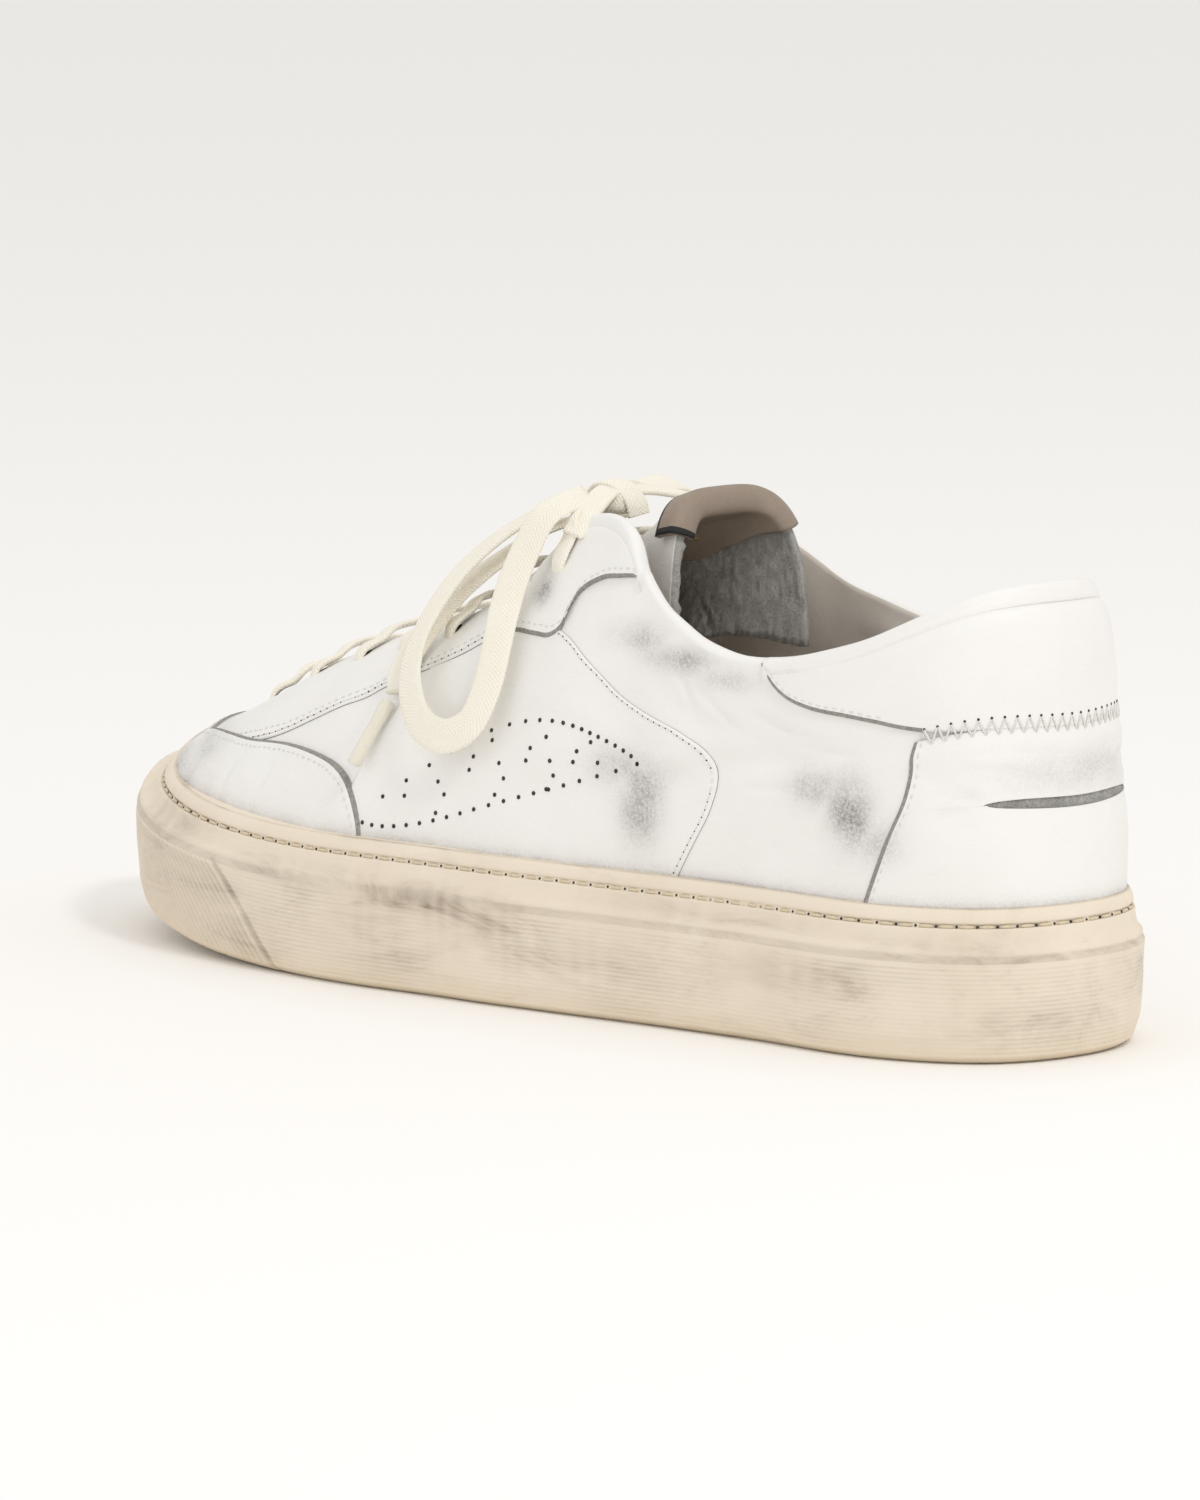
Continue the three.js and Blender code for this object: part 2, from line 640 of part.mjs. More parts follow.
// ---------------------------------------------------------------- materials and assembly
const leather = { color: 0xf1f0ec, roughness: 0.55, metalness: 0 };
const rubber = { color: 0xe3d5bd, roughness: 0.75, metalness: 0 };
const suede = { color: 0x8f8a82, roughness: 0.95, metalness: 0 };
const lining = { color: 0xd9d0c4, roughness: 0.85, metalness: 0 };
const taupeLeather = { color: 0x8d7c6f, roughness: 0.6, metalness: 0 };
const clearPlastic = { color: 0xf0ead8, roughness: 0.2, metalness: 0 };
const cotton = { color: 0xeadfc4, roughness: 0.9, metalness: 0 };

const shoe = new THREE.Group();

function place(name, geometry, look) {
  const mesh = new THREE.Mesh(geometry, new THREE.MeshStandardMaterial(look));
  mesh.name = name;
  shoe.add(mesh);
}

place('cup_sole', makeCupSole(), rubber);
place('upper', makeUpper(), leather);
place('insole', makeInsole(), lining);
place('tongue', makeTongue(), suede);
place('tongue_label', makeTongueLabel(), taupeLeather);
for (let i = 0; i < EYELET_COUNT; i += 1) {
  place(`lace_bar_${i + 1}`, laceBar(i), cotton);
}
place('lace_knot', makeKnot(), cotton);
place('lace_loop_lateral', looseLace(LATERAL_LOOP, LATERAL_LOOP_FACES, 26), cotton);
place('lace_end_lateral', looseLace(LATERAL_END, LATERAL_END_FACES, 12), cotton);
place('aglet_lateral', makeAglet(LATERAL_AGLET), clearPlastic);
place('lace_loop_medial', looseLace(MEDIAL_LOOP, MEDIAL_LOOP_FACES, 26), cotton);
place('lace_end_medial', looseLace(MEDIAL_END, MEDIAL_END_FACES, 12), cotton);
place('aglet_medial', makeAglet(MEDIAL_AGLET), clearPlastic);

// The frame's origin lies on the ground below the middle of the shoe's own box, the free lace left out.
const shoeBox = new THREE.Box3();
for (const mesh of shoe.children) {
  if (!/knot|loop|end|aglet/.test(mesh.name)) {
    shoeBox.expandByObject(mesh);
  }
}
const middle = shoeBox.getCenter(new THREE.Vector3());
for (const mesh of shoe.children) {
  mesh.geometry.translate(-middle.x, -middle.y, 0);
}

export default shoe;
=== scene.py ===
import math

import bpy
import numpy as np
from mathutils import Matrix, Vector


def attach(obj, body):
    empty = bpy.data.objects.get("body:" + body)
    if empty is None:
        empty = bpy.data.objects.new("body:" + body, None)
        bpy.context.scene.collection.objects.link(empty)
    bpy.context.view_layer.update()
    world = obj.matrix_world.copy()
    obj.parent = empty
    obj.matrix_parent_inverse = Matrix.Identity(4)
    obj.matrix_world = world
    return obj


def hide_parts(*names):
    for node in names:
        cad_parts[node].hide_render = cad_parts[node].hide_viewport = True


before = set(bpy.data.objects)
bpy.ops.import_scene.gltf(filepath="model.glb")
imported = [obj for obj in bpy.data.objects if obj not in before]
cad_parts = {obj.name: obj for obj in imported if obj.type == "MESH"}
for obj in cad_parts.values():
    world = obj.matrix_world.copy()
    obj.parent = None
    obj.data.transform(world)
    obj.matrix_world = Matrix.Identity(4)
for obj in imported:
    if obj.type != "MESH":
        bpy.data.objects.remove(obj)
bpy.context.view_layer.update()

# A worn left sneaker. Shapes are worked out in the part's own millimetres, then moved by ORIGIN and put in
# metres. On the upper a place is (t, v): t counts stations round the shoe from the back of the heel by the
# outer side to the toe and back by the inner side, v goes from the feather edge (0) to the top edge (1).
ORIGIN = np.array([1.617, 0.25, 0.0])
RNG = np.random.default_rng(11)

HALF_LENGTH = 150.0
LEDGE_HEIGHT = 24.3
RIM_HEIGHT = 34.0
RIM_DROP_AT_TOE = 2.0
RIM_INSET = 3.2
RIM_INSET_GAIN = 8.1
FOOT_INSET = 1.6
FRONT_START = 40.0
TOE_SPRING = 12.0
SPRING_START = 38.0
SPRING_POWER = 2.2
HEEL_FLOOR = 24.0
BALL_FLOOR = 15.0
FLOOR_FALL = (-75.0, 35.0)
UPPER_DATUM = 24.0
GAP = 0.3
LEATHER_WALL = 2.2
COLLAR_PADDING = 3.2
TONGUE_THICKNESS = 2.6
STATIONS = (
    # lateral foot, medial foot, lateral top, medial top, (rise, lean, spread, drop)
    ((0, -150), None, (0, -141, 104), None, (34, 1, 2, 34)),
    ((-26, -141), (25, -141), (-21, -131.5, 101), (20, -131.5, 101), (34, 2, 3, 30)),
    ((-39, -115), (37.5, -114), (-31, -110, 90.5), (30, -110, 91.5), (30, 2, 3, 26)),
    ((-40.5, -88), (37.5, -86), (-34, -88, 84.6), (32, -88, 86), (26, 2, 2, 22)),
    ((-43, -60), (35, -62), (-35, -70, 84.6), (33, -71, 86), (24, 1, 2, 22)),
    ((-46, -38), (33.5, -42), (-34, -55, 90), (33, -55, 89.5), (26, 1, 3, 26)),
    ((-48.5, -20), (34, -24), (-31, -43, 98), (30.5, -41.5, 94), (28, 1, 5, 30)),
    ((-50.5, -4), (35.5, -10), (-27.5, -34.5, 108), (21.5, -30, 103.5), (30, 1, 9, 32)),
    ((-52, 13), (38, 4), (-20, -14, 108), (16, -13, 105), (28, 0, 14, 26)),
    ((-54, 32), (42, 23), (-18.5, 5, 94), (16.5, 5, 93), (24, 0, 20, 16)),
    ((-54.2, 52), (46.5, 44), (-16, 29, 81.5), (15, 29, 81.5), (20, 0, 22, 9)),
    ((-52.5, 75), (50, 66), (-12, 55, 73.8), (12, 55, 73.8), (17, 0, 22, 7)),
    ((-47, 99), (51, 91), (-8, 78, 66.3), (9, 77, 66.3), (14, 3, 22.5, 8)),
    ((-35, 122), (47.5, 115), (-5, 96, 59), (6, 95, 59), (16.5, 8, 20.5, 12)),
    ((-15, 140.5), (37, 135), (-2.5, 105.5, 55.4), (4.5, 105.5, 55.4), (16, 7, 20.5, 14.5)),
    ((10, 149.5), None, (1, 108.5, 54.2), None, (15.5, 5, 19, 9.5)),
)
ROUND = 2 * (len(STATIONS) - 1)


# ---------------------------------------------------------------- curves and the upper's surface
def lerp(a, b, t):
    return a + (b - a) * t


def smooth(low, high, value):
    t = np.clip((value - low) / (high - low), 0, 1)
    return t * t * (3 - 2 * t)


def unit(a):
    return a / np.linalg.norm(a, axis=-1, keepdims=True)


def closed_spline(rows):
    rows = np.array(rows, float)
    control = rows.copy()
    for _ in range(60):
        control = (6 * rows - np.roll(control, 1, 0) - np.roll(control, -1, 0)) / 4
    count = len(rows)

    def at(t):
        t = np.asarray(t, float) % count
        i = np.floor(t).astype(int)
        f = (t - i)[..., None]
        return (
            (1 - f) ** 3 * control[(i - 1) % count]
            + (3 * f**3 - 6 * f * f + 4) * control[i % count]
            + (-3 * f**3 + 3 * f * f + 3 * f + 1) * control[(i + 1) % count]
            + f**3 * control[(i + 2) % count]
        ) / 6

    return at


INNER = [s for s in STATIONS if s[1] is not None][::-1]
outline = closed_spline([s[0] for s in STATIONS] + [s[1] for s in INNER])
top_edge = closed_spline([s[2] for s in STATIONS] + [s[3] for s in INNER])
profile_bend = closed_spline([s[4] for s in STATIONS] + [s[4] for s in INNER])


def spring(y):
    part = np.clip((y - SPRING_START) / (HALF_LENGTH - SPRING_START), 0, 2)
    return TOE_SPRING * part**SPRING_POWER


def frontness(y):
    return np.clip((y - FRONT_START) / (HALF_LENGTH - FRONT_START), 0, 1) ** 1.5


def rim_inset(y):
    return RIM_INSET + RIM_INSET_GAIN * frontness(y)


def rim_height(y):
    return RIM_HEIGHT - RIM_DROP_AT_TOE * frontness(y) + spring(y)


def floor_height(y):
    return HEEL_FLOOR + (BALL_FLOOR - HEEL_FLOOR) * smooth(*FLOOR_FALL, y) + spring(y)


def outline_normal(t):
    t = np.asarray(t, float)
    d = outline(t + 0.001) - outline(t - 0.001)
    return unit(np.stack([-d[..., 1], d[..., 0]], -1))


def inset_outline(t, inset):
    return outline(t) - outline_normal(t) * np.asarray(inset, float)[..., None]


def with_height(plan, z):
    return np.concatenate([plan, z[..., None]], -1)


def upper_surface(t, v):
    t, v = np.broadcast_arrays(np.asarray(t, float), np.asarray(v, float))
    out = outline_normal(t)
    plan = inset_outline(t, rim_inset(outline(t)[..., 1]) + FOOT_INSET)
    bend, top, y = profile_bend(t), top_edge(t), plan[..., 1]
    foot = with_height(plan, floor_height(y) + GAP)
    low = with_height(plan + out * bend[..., 1:2], UPPER_DATUM + spring(y) + bend[..., 0])
    high = np.concatenate([top[..., :2] + out * bend[..., 2:3], top[..., 2:] - bend[..., 3:]], -1)
    v = v[..., None]
    return (1 - v) ** 3 * foot + 3 * (1 - v) ** 2 * v * low + 3 * (1 - v) * v * v * high + v**3 * top


def upper_normal(t, v, step=0.004):
    v = np.asarray(v, float)
    along = upper_surface(t + step, v) - upper_surface(t - step, v)
    up = upper_surface(t, np.minimum(1, v + step)) - upper_surface(t, np.maximum(0, v - step))
    return unit(np.cross(up, along))


def catmull_rom(points, count):
    """Centripetal curve through points, sampled evenly in its own parameter, as in the part's source."""
    p = np.array(points, float)
    p = np.vstack([2 * p[0] - p[1], p, 2 * p[-1] - p[-2]])
    out = []
    for s in np.linspace(0, len(points) - 1, count):
        i = min(int(s), len(points) - 2)
        f = s - i
        a, b, c, d = p[i : i + 4]
        t0 = max(np.linalg.norm(b - a), 1e-6) ** 0.5
        t1 = max(np.linalg.norm(c - b), 1e-6) ** 0.5
        t2 = max(np.linalg.norm(d - c), 1e-6) ** 0.5
        m1 = ((b - a) / t0 - (c - a) / (t0 + t1) + (c - b) / t1) * t1
        m2 = ((c - b) / t1 - (d - b) / (t1 + t2) + (d - c) / t2) * t1
        f2, f3 = f * f, f * f * f
        weights = (2 * f3 - 3 * f2 + 1, f3 - 2 * f2 + f, 3 * f2 - 2 * f3, f3 - f2)
        out.append(weights[0] * b + weights[1] * m1 + weights[2] * c + weights[3] * m2)
    return np.array(out)


def run_along(points):
    """The distance from a line's first point to each of its points."""
    return np.concatenate([[0], np.cumsum(np.linalg.norm(np.diff(points, axis=0), axis=1))])


def resample(line, count, measure):
    """The same line with evenly spaced points, by length in the space that measure turns it into."""
    run = run_along(measure(line))
    at = np.linspace(0, run[-1], count)
    return np.stack([np.interp(at, run, line[:, k]) for k in range(line.shape[1])], -1)


def on_upper(line):
    return upper_surface(line[:, 0], line[:, 1])


def tv_line(points, count):
    """A smooth line on the upper through (t, v) points, evenly spaced in millimetres."""
    # Roughly the millimetres in one station and in the whole of v.
    scale = np.array([20.0, 75.0])
    dense = catmull_rom(np.array(points, float) * scale, 30 * len(points)) / scale
    return resample(dense, count, on_upper)


def mirrored(points):
    """The same line on the inner side of the shoe."""
    return [(ROUND - t, v) for t, v in points]


# ---------------------------------------------------------------- seams, as lines on the upper
TOE_EDGE_SIDE = [
    (8.98, 0.1), (9.11, 0.199), (9.45, 0.302), (9.84, 0.379), (10.29, 0.428), (10.98, 0.474),
    (11.66, 0.505), (12.3, 0.555), (13.0, 0.6), (14.0, 0.625), (15.0, 0.63),
]
STAY_EDGE_SIDE = [
    (8.6, 0.74), (8.87, 0.729), (9.43, 0.711), (9.98, 0.679), (10.48, 0.62), (10.92, 0.559),
    (11.42, 0.504), (12.2, 0.49), (13.2, 0.51), (15.0, 0.53),
]
FLAP_EDGE = [
    (8.86, 0.985), (8.8, 0.9), (8.73, 0.81), (8.66, 0.742), (8.19, 0.692), (7.9, 0.678), (7.66, 0.68),
    (7.56, 0.705), (7.6, 0.75), (7.55, 0.8), (7.31, 0.847), (6.91, 0.89), (6.4, 0.95), (6.16, 0.985),
]
QUARTER_EDGE = [
    (8.3, 0.73), (7.39, 0.698), (6.89, 0.683), (6.06, 0.69), (4.99, 0.687), (4.43, 0.675),
    (3.96, 0.63), (3.72, 0.535), (3.72, 0.409), (3.83, 0.284), (4.03, 0.1),
]
HEEL_EDGE_SIDE = [
    (2.02, 0.09), (1.89, 0.198), (1.75, 0.321), (1.61, 0.425), (1.54, 0.514), (1.51, 0.586), (1.45, 0.65),
]
COLLAR_EDGE_SIDE = [
    (3.28, 0.985), (3.25, 0.962), (3.03, 0.894), (2.83, 0.853), (2.54, 0.813), (2.13, 0.766), (1.85, 0.723),
    (1.55, 0.669), (1.3, 0.636), (0.85, 0.612), (0.25, 0.61), (0.0, 0.61),
]
SLIT_TIP = 0.92
SLIT_LEVEL = 0.384
SLIT_HALF = 0.0165

# Soft troughs and ridges: points on the upper, half width in mm, share of CREASE_DEPTH.
CREASE_DEPTH = 1.9
CREASES = [
    ([(5.3, 0.33), (4.6, 0.47), (3.6, 0.6), (2.6, 0.62), (1.7, 0.6)], 3.4, 0.5),
    ([(3.3, 0.55), (2.5, 0.58), (1.6, 0.57), (0.7, 0.56)], 1.6, -0.25),
    ([(1.5, 0.5), (1.1, 0.47), (0.6, 0.46)], 2.0, 0.3),
    ([(1.35, 0.36), (1.1, 0.375), (0.95, 0.384)], 1.6, 0.5),
    ([(1.3, 0.43), (1.05, 0.41), (0.9, 0.395)], 1.2, 0.3),
    ([(5.2, 0.8), (4.5, 0.75), (3.6, 0.72), (2.9, 0.73)], 3.0, 0.35),
    ([(12.3, 0.54), (12.42, 0.43), (12.46, 0.32), (12.5, 0.24)], 1.1, 0.35),
    ([(11.6, 0.455), (11.72, 0.385), (11.7, 0.28)], 1.0, 0.3),
    ([(12.9, 0.5), (13.1, 0.4), (13.2, 0.32)], 1.4, 0.3),
    ([(14.0, 0.52), (14.2, 0.42), (14.3, 0.33)], 1.6, 0.3),
    ([(10.6, 0.33), (10.3, 0.42), (10.2, 0.52), (10.4, 0.66)], 4.5, 0.55),
    ([(9.2, 0.24), (9.0, 0.36), (8.9, 0.5), (9.0, 0.66)], 5.0, 0.5),
    ([(7.5, 0.28), (6.6, 0.33), (5.6, 0.36)], 5.0, 0.4),
    ([(6.9, 0.55), (6.2, 0.58), (5.4, 0.57)], 3.5, -0.3),
    ([(2.6, 0.3), (2.2, 0.34), (1.7, 0.34)], 2.6, 0.3),
]
# Fine wrinkles run from the slit's tips and under the collar band.
for start, end, rise in (
    ((1.42, 0.47), (0.95, 0.4), 0.012), ((1.4, 0.43), (0.98, 0.393), 0.008),
    ((1.38, 0.34), (0.98, 0.376), -0.01), ((1.3, 0.31), (0.9, 0.36), -0.012),
    ((1.2, 0.5), (0.5, 0.47), 0.01), ((1.0, 0.55), (0.2, 0.53), 0.008),
    ((2.9, 0.7), (2.1, 0.62), 0.01), ((3.2, 0.76), (2.3, 0.68), 0.012), ((3.5, 0.8), (2.7, 0.73), 0.01),
    ((4.4, 0.84), (3.5, 0.72), 0.02), ((4.9, 0.86), (4.3, 0.76), 0.02), ((3.4, 0.5), (2.4, 0.46), 0.02),
    ((8.2, 0.64), (7.7, 0.45), 0.02), ((8.7, 0.62), (8.3, 0.42), 0.02), ((9.5, 0.6), (9.2, 0.42), 0.01),
    ((11.0, 0.4), (11.1, 0.24), 0.0), ((13.6, 0.5), (13.7, 0.36), 0.0), ((14.6, 0.5), (14.7, 0.38), 0.0),
):
    middle = ((start[0] + end[0]) / 2, (start[1] + end[1]) / 2 + rise)
    CREASES.append(([start, middle, end], 1.0, 0.24))
CREASES += [(mirrored(line), width, depth) for line, width, depth in CREASES]
CREASE_LINES = [(on_upper(tv_line(line, 40)), width, depth) for line, width, depth in CREASES]
WAVE_HEIGHT = 0.192
COLLAR_PILLOW = 1.0
HEEL_ROLL = 2.0


def relief(points):
    """How far creases and dents move a place on the upper along its normal."""
    flat = points.reshape(-1, 3)
    height = np.zeros(len(flat))
    for line, width, depth in CREASE_LINES:
        low, high = line.min(0) - 4 * width, line.max(0) + 4 * width
        near = np.nonzero(((flat > low) & (flat < high)).all(1))[0]
        if len(near) == 0:
            continue
        gap = np.linalg.norm(flat[near][:, None] - line[None], axis=-1)
        at = gap.argmin(1)
        fade = np.sin(np.pi * np.clip((at + 1.0) / (len(line) + 1), 0, 1)) ** 0.6
        height[near] -= CREASE_DEPTH * depth * fade * np.exp(-((gap.min(1) / width) ** 2))
    y, z = flat[:, 1], flat[:, 2]
    wave = np.sin(y * 0.16 + z * 0.11) * np.sin(y * 0.07 - z * 0.19 + 1.3)
    return (height + WAVE_HEIGHT * wave).reshape(points.shape[:-1])


def stations_from_heel(t):
    return np.minimum(t % ROUND, ROUND - t % ROUND)


def collar_pillow(t, v):
    """Foam under the collar band pushes it out between its seam and the top line."""
    near_heel = 1 - smooth(2.4, 3.6, stations_from_heel(t))
    return COLLAR_PILLOW * near_heel * smooth(0.6, 0.78, v) * (1 - smooth(0.9, 1.0, v))


def heel_rounding(t, v):
    """The padded top of the heel rolls forward."""
    near_heel = 1 - smooth(0.9, 2.6, stations_from_heel(t))
    return -HEEL_ROLL * smooth(0.86, 1.02, v) ** 1.6 * near_heel


def raised(t, v, height):
    """Places a given height over the upper, with its creases and padding."""
    base = upper_surface(t, v)
    lift = relief(base) + collar_pillow(t, v) + heel_rounding(t, v) + height
    return base + upper_normal(t, v) * lift[..., None]


# ---------------------------------------------------------------- wear and painted shade, as amounts from 0 to 1
SCUFFS = [
    # centre, half sizes along y and z, strength
    ((-33.5, -44, 85), 9, 3.2, 0.45),
    ((-35.4, -58, 81.5), 11, 3.0, 0.55),
    ((-35.4, -72, 78.5), 9, 2.6, 0.35),
    ((-39.3, -45, 56.5), 11, 4.0, 0.5),
    ((-39.4, -50, 50), 5.5, 8.0, 0.9),
    ((-35.9, -101, 57.5), 8, 4.5, 0.45),
    ((-35.2, -110, 53), 5.5, 7.0, 0.85),
    ((-33, -118, 47), 6, 5.0, 0.35),
    ((-30, -8, 92), 3.5, 3.5, 0.75),
    ((-26, -6, 99), 2.0, 2.5, 0.6),
    ((-20, 118, 40), 22, 5.5, 0.42),
    ((-6, 126, 44), 16, 5.0, 0.5),
    ((-30, 104, 46), 10, 5.0, 0.3),
    ((37, -60, 56), 12, 7.0, 0.6),
    ((36, -106, 50), 9, 6.0, 0.6),
    ((45, 60, 45), 18, 6.0, 0.4),
    ((30, 118, 42), 18, 6.0, 0.5),
    ((6, -143, 62), 10, 5.0, 0.3),
]
SCUFF_HALF_WIDTH = 24.0
# A grey band on the leather just above the rubber rim: painted shade where the two parts meet.
RIM_SHADE = 0.35
RIM_SHADE_HEIGHT = 1.3


def wear_and_rim_shade_at(points):
    """Scuffs, and painted shade: a grey band where leather meets the rubber rim."""
    scuffed = np.zeros(points.shape[:-1])
    for centre, along, up, strength in SCUFFS:
        d = points - np.array(centre)
        far = (d[..., 1] / along) ** 2 + (d[..., 2] / up) ** 2 + (d[..., 0] / SCUFF_HALF_WIDTH) ** 2
        scuffed = np.maximum(scuffed, strength * np.exp(-far))
    above_rim = points[..., 2] - rim_height(points[..., 1])
    return np.clip(scuffed + np.exp(-np.clip(above_rim, 0, 50) / RIM_SHADE_HEIGHT) * RIM_SHADE, 0, 1)


# ---------------------------------------------------------------- making pieces
def grid_faces(nu, nv, wrap_u=False, wrap_v=False):
    """Quads over a grid of points, open or closed each way; the ones that close it along v come last."""
    rows = np.arange(nu if wrap_u else nu - 1)
    i, j = (a.ravel() for a in np.meshgrid(rows, np.arange(nv - 1), indexing="ij"))
    if wrap_v:
        i = np.concatenate([i, rows])
        j = np.concatenate([j, np.full(len(rows), nv - 1)])
    i2, j2 = (i + 1) % nu, (j + 1) % nv
    return np.stack([i * nv + j, i2 * nv + j, i2 * nv + j2, i * nv + j2], -1)


def fan_faces(ring):
    """Quads across a ring of an even number of points, in strips from one side to the other."""
    n = len(ring)
    return [[ring[i], ring[i + 1], ring[n - 2 - i], ring[n - 1 - i]] for i in range(n // 2 - 1)]


def capped_faces(around, levels):
    """Faces of columns of points set round an axis, filled in at both ends."""
    low = fan_faces([i * levels for i in range(around)])
    high = fan_faces([i * levels + levels - 1 for i in range(around)][::-1])
    return np.concatenate([grid_faces(around, levels, wrap_u=True), low, high])


def in_metres(points):
    return (np.asarray(points, float) + ORIGIN) / 1000


def add_object(name, data):
    obj = bpy.data.objects.new(name, data)
    bpy.context.scene.collection.objects.link(obj)
    return obj


def aim(obj, place, target):
    obj.location = place
    obj.rotation_mode = "QUATERNION"
    obj.rotation_quaternion = (Vector(target) - Vector(place)).to_track_quat("-Z", "Y")


def signed_volume(points, faces):
    a, b, c = points[faces[:, 0]], points[faces[:, 1]], points[faces[:, 2]]
    total = np.einsum("ij,ij->i", a, np.cross(b, c)).sum()
    if faces.shape[1] == 4:
        d = points[faces[:, 3]]
        total += np.einsum("ij,ij->i", a, np.cross(c, d)).sum()
    return total / 6


def piece(name, points, faces, materials, face_material=None, attributes=None, replaces=()):
    """A mesh of quads from points in millimetres, with its faces turned outward."""
    points = np.asarray(points, float).reshape(-1, 3)
    faces = np.asarray(faces)
    if signed_volume(points - points.mean(0), faces) < 0:
        faces = faces[:, ::-1]
    mesh = bpy.data.meshes.new(name)
    mesh.vertices.add(len(points))
    mesh.vertices.foreach_set("co", in_metres(points).astype(np.float32).ravel())
    size = faces.shape[1]
    mesh.loops.add(faces.size)
    mesh.loops.foreach_set("vertex_index", faces.astype(np.int32).ravel())
    mesh.polygons.add(len(faces))
    mesh.polygons.foreach_set("loop_start", np.arange(0, faces.size, size, dtype=np.int32))
    mesh.polygons.foreach_set("use_smooth", np.ones(len(faces), bool))
    if face_material is not None:
        mesh.polygons.foreach_set("material_index", np.asarray(face_material, np.int32))
    for key, values in (attributes or {}).items():
        layer = mesh.attributes.new(key, "FLOAT", "POINT")
        layer.data.foreach_set("value", np.asarray(values, np.float32).ravel())
    mesh.update()
    mesh.validate()
    for material in materials:
        mesh.materials.append(material)
    obj = add_object(name, mesh)
    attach(obj, "root")
    if replaces:
        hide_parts(*replaces)
    return obj


class Bag:
    """Collects many small solids into one joined piece."""

    def __init__(self):
        self.points, self.faces, self.count = [], [], 0

    def add(self, points, faces):
        self.points.append(points)
        self.faces.append(faces + self.count)
        self.count += len(points)

    def piece(self, name, material, slot, attributes=None):
        points, faces = np.concatenate(self.points), np.concatenate(self.faces)
        return piece(name, points, faces, [material], attributes=attributes)


def closed_grid(top, bottom):
    """Points and faces of a solid between two grids of one size, and how many faces are on top.

    The faces on top come first, then the ones below, then the sides."""
    nu, nv = top.shape[:2]
    count = nu * nv
    index = np.arange(count).reshape(nu, nv)
    above = grid_faces(nu, nv)
    below = (above + count)[:, ::-1]
    ring = np.concatenate([index[:, 0], index[-1, 1:], index[-2::-1, -1], index[0, -2:0:-1]])
    after = np.roll(ring, -1)
    sides = np.stack([after, ring, ring + count, after + count], -1)
    points = np.concatenate([top.reshape(-1, 3), bottom.reshape(-1, 3)])
    return points, np.concatenate([above, below, sides]), len(above)


PANEL_LINES = {}
PANEL_ROOT = 0.35
# The rounded cut edge: distances inward from it, and heights as shares of the leather's thickness.
EDGE_INWARD = np.array([0, 0.05, 0.4, 0.75, 1.05, 1.5])
EDGE_RISE = np.array([0.4, 0.78, 0.94, 1, 1])
EDGE_SINK = 0.3


def leather_piece(name, points, faces, kinds):
    """An overlay of the upper; kinds holds 1 for each face that is raw edge."""
    return piece(
        name, points, faces, [WHITE_LEATHER, RAW_EDGE],
        face_material=kinds, attributes={"wear_and_shade": wear_and_rim_shade_at(points)},
    )


def panel(name, edge, base, thickness, count, across, raw_rows=4, plain=0.0):
    """A leather overlay between its cut edge and a base line, both given by (t, v) points.

    Its rows next to the cut edge are raw, but not within plain stations of the back of the heel."""
    edge, base = tv_line(edge, count), tv_line(base, count)
    width = np.maximum(np.linalg.norm(on_upper(edge) - on_upper(base), axis=1), 2.0)
    rounded = np.minimum(EDGE_INWARD / width[:, None], 0.9)
    rest = np.linspace(0, 1, across + 1)[1:]
    w = np.concatenate([rounded, rounded[:, -1:] + (1 - rounded[:, -1:]) * rest], 1)[..., None]
    heights = np.concatenate([
        [-EDGE_SINK], thickness * EDGE_RISE, np.full(across - 1, thickness), [thickness - EDGE_SINK],
    ])
    tv = edge[:, None] * (1 - w) + base[:, None] * w
    t, v = tv[..., 0], np.minimum(tv[..., 1], 1)
    points, faces, upper_count = closed_grid(raised(t, v, heights), raised(t, v, -PANEL_ROOT))
    column, row = np.divmod(np.arange(upper_count), t.shape[1] - 1)
    kinds = np.zeros(len(faces), int)
    kinds[:upper_count] = (row < raw_rows) & (np.abs(edge[column, 0]) >= plain)
    kinds[upper_count:] = raw_rows > 1
    PANEL_LINES[name] = (edge, base, width, thickness)
    return leather_piece(name, points, faces, kinds)


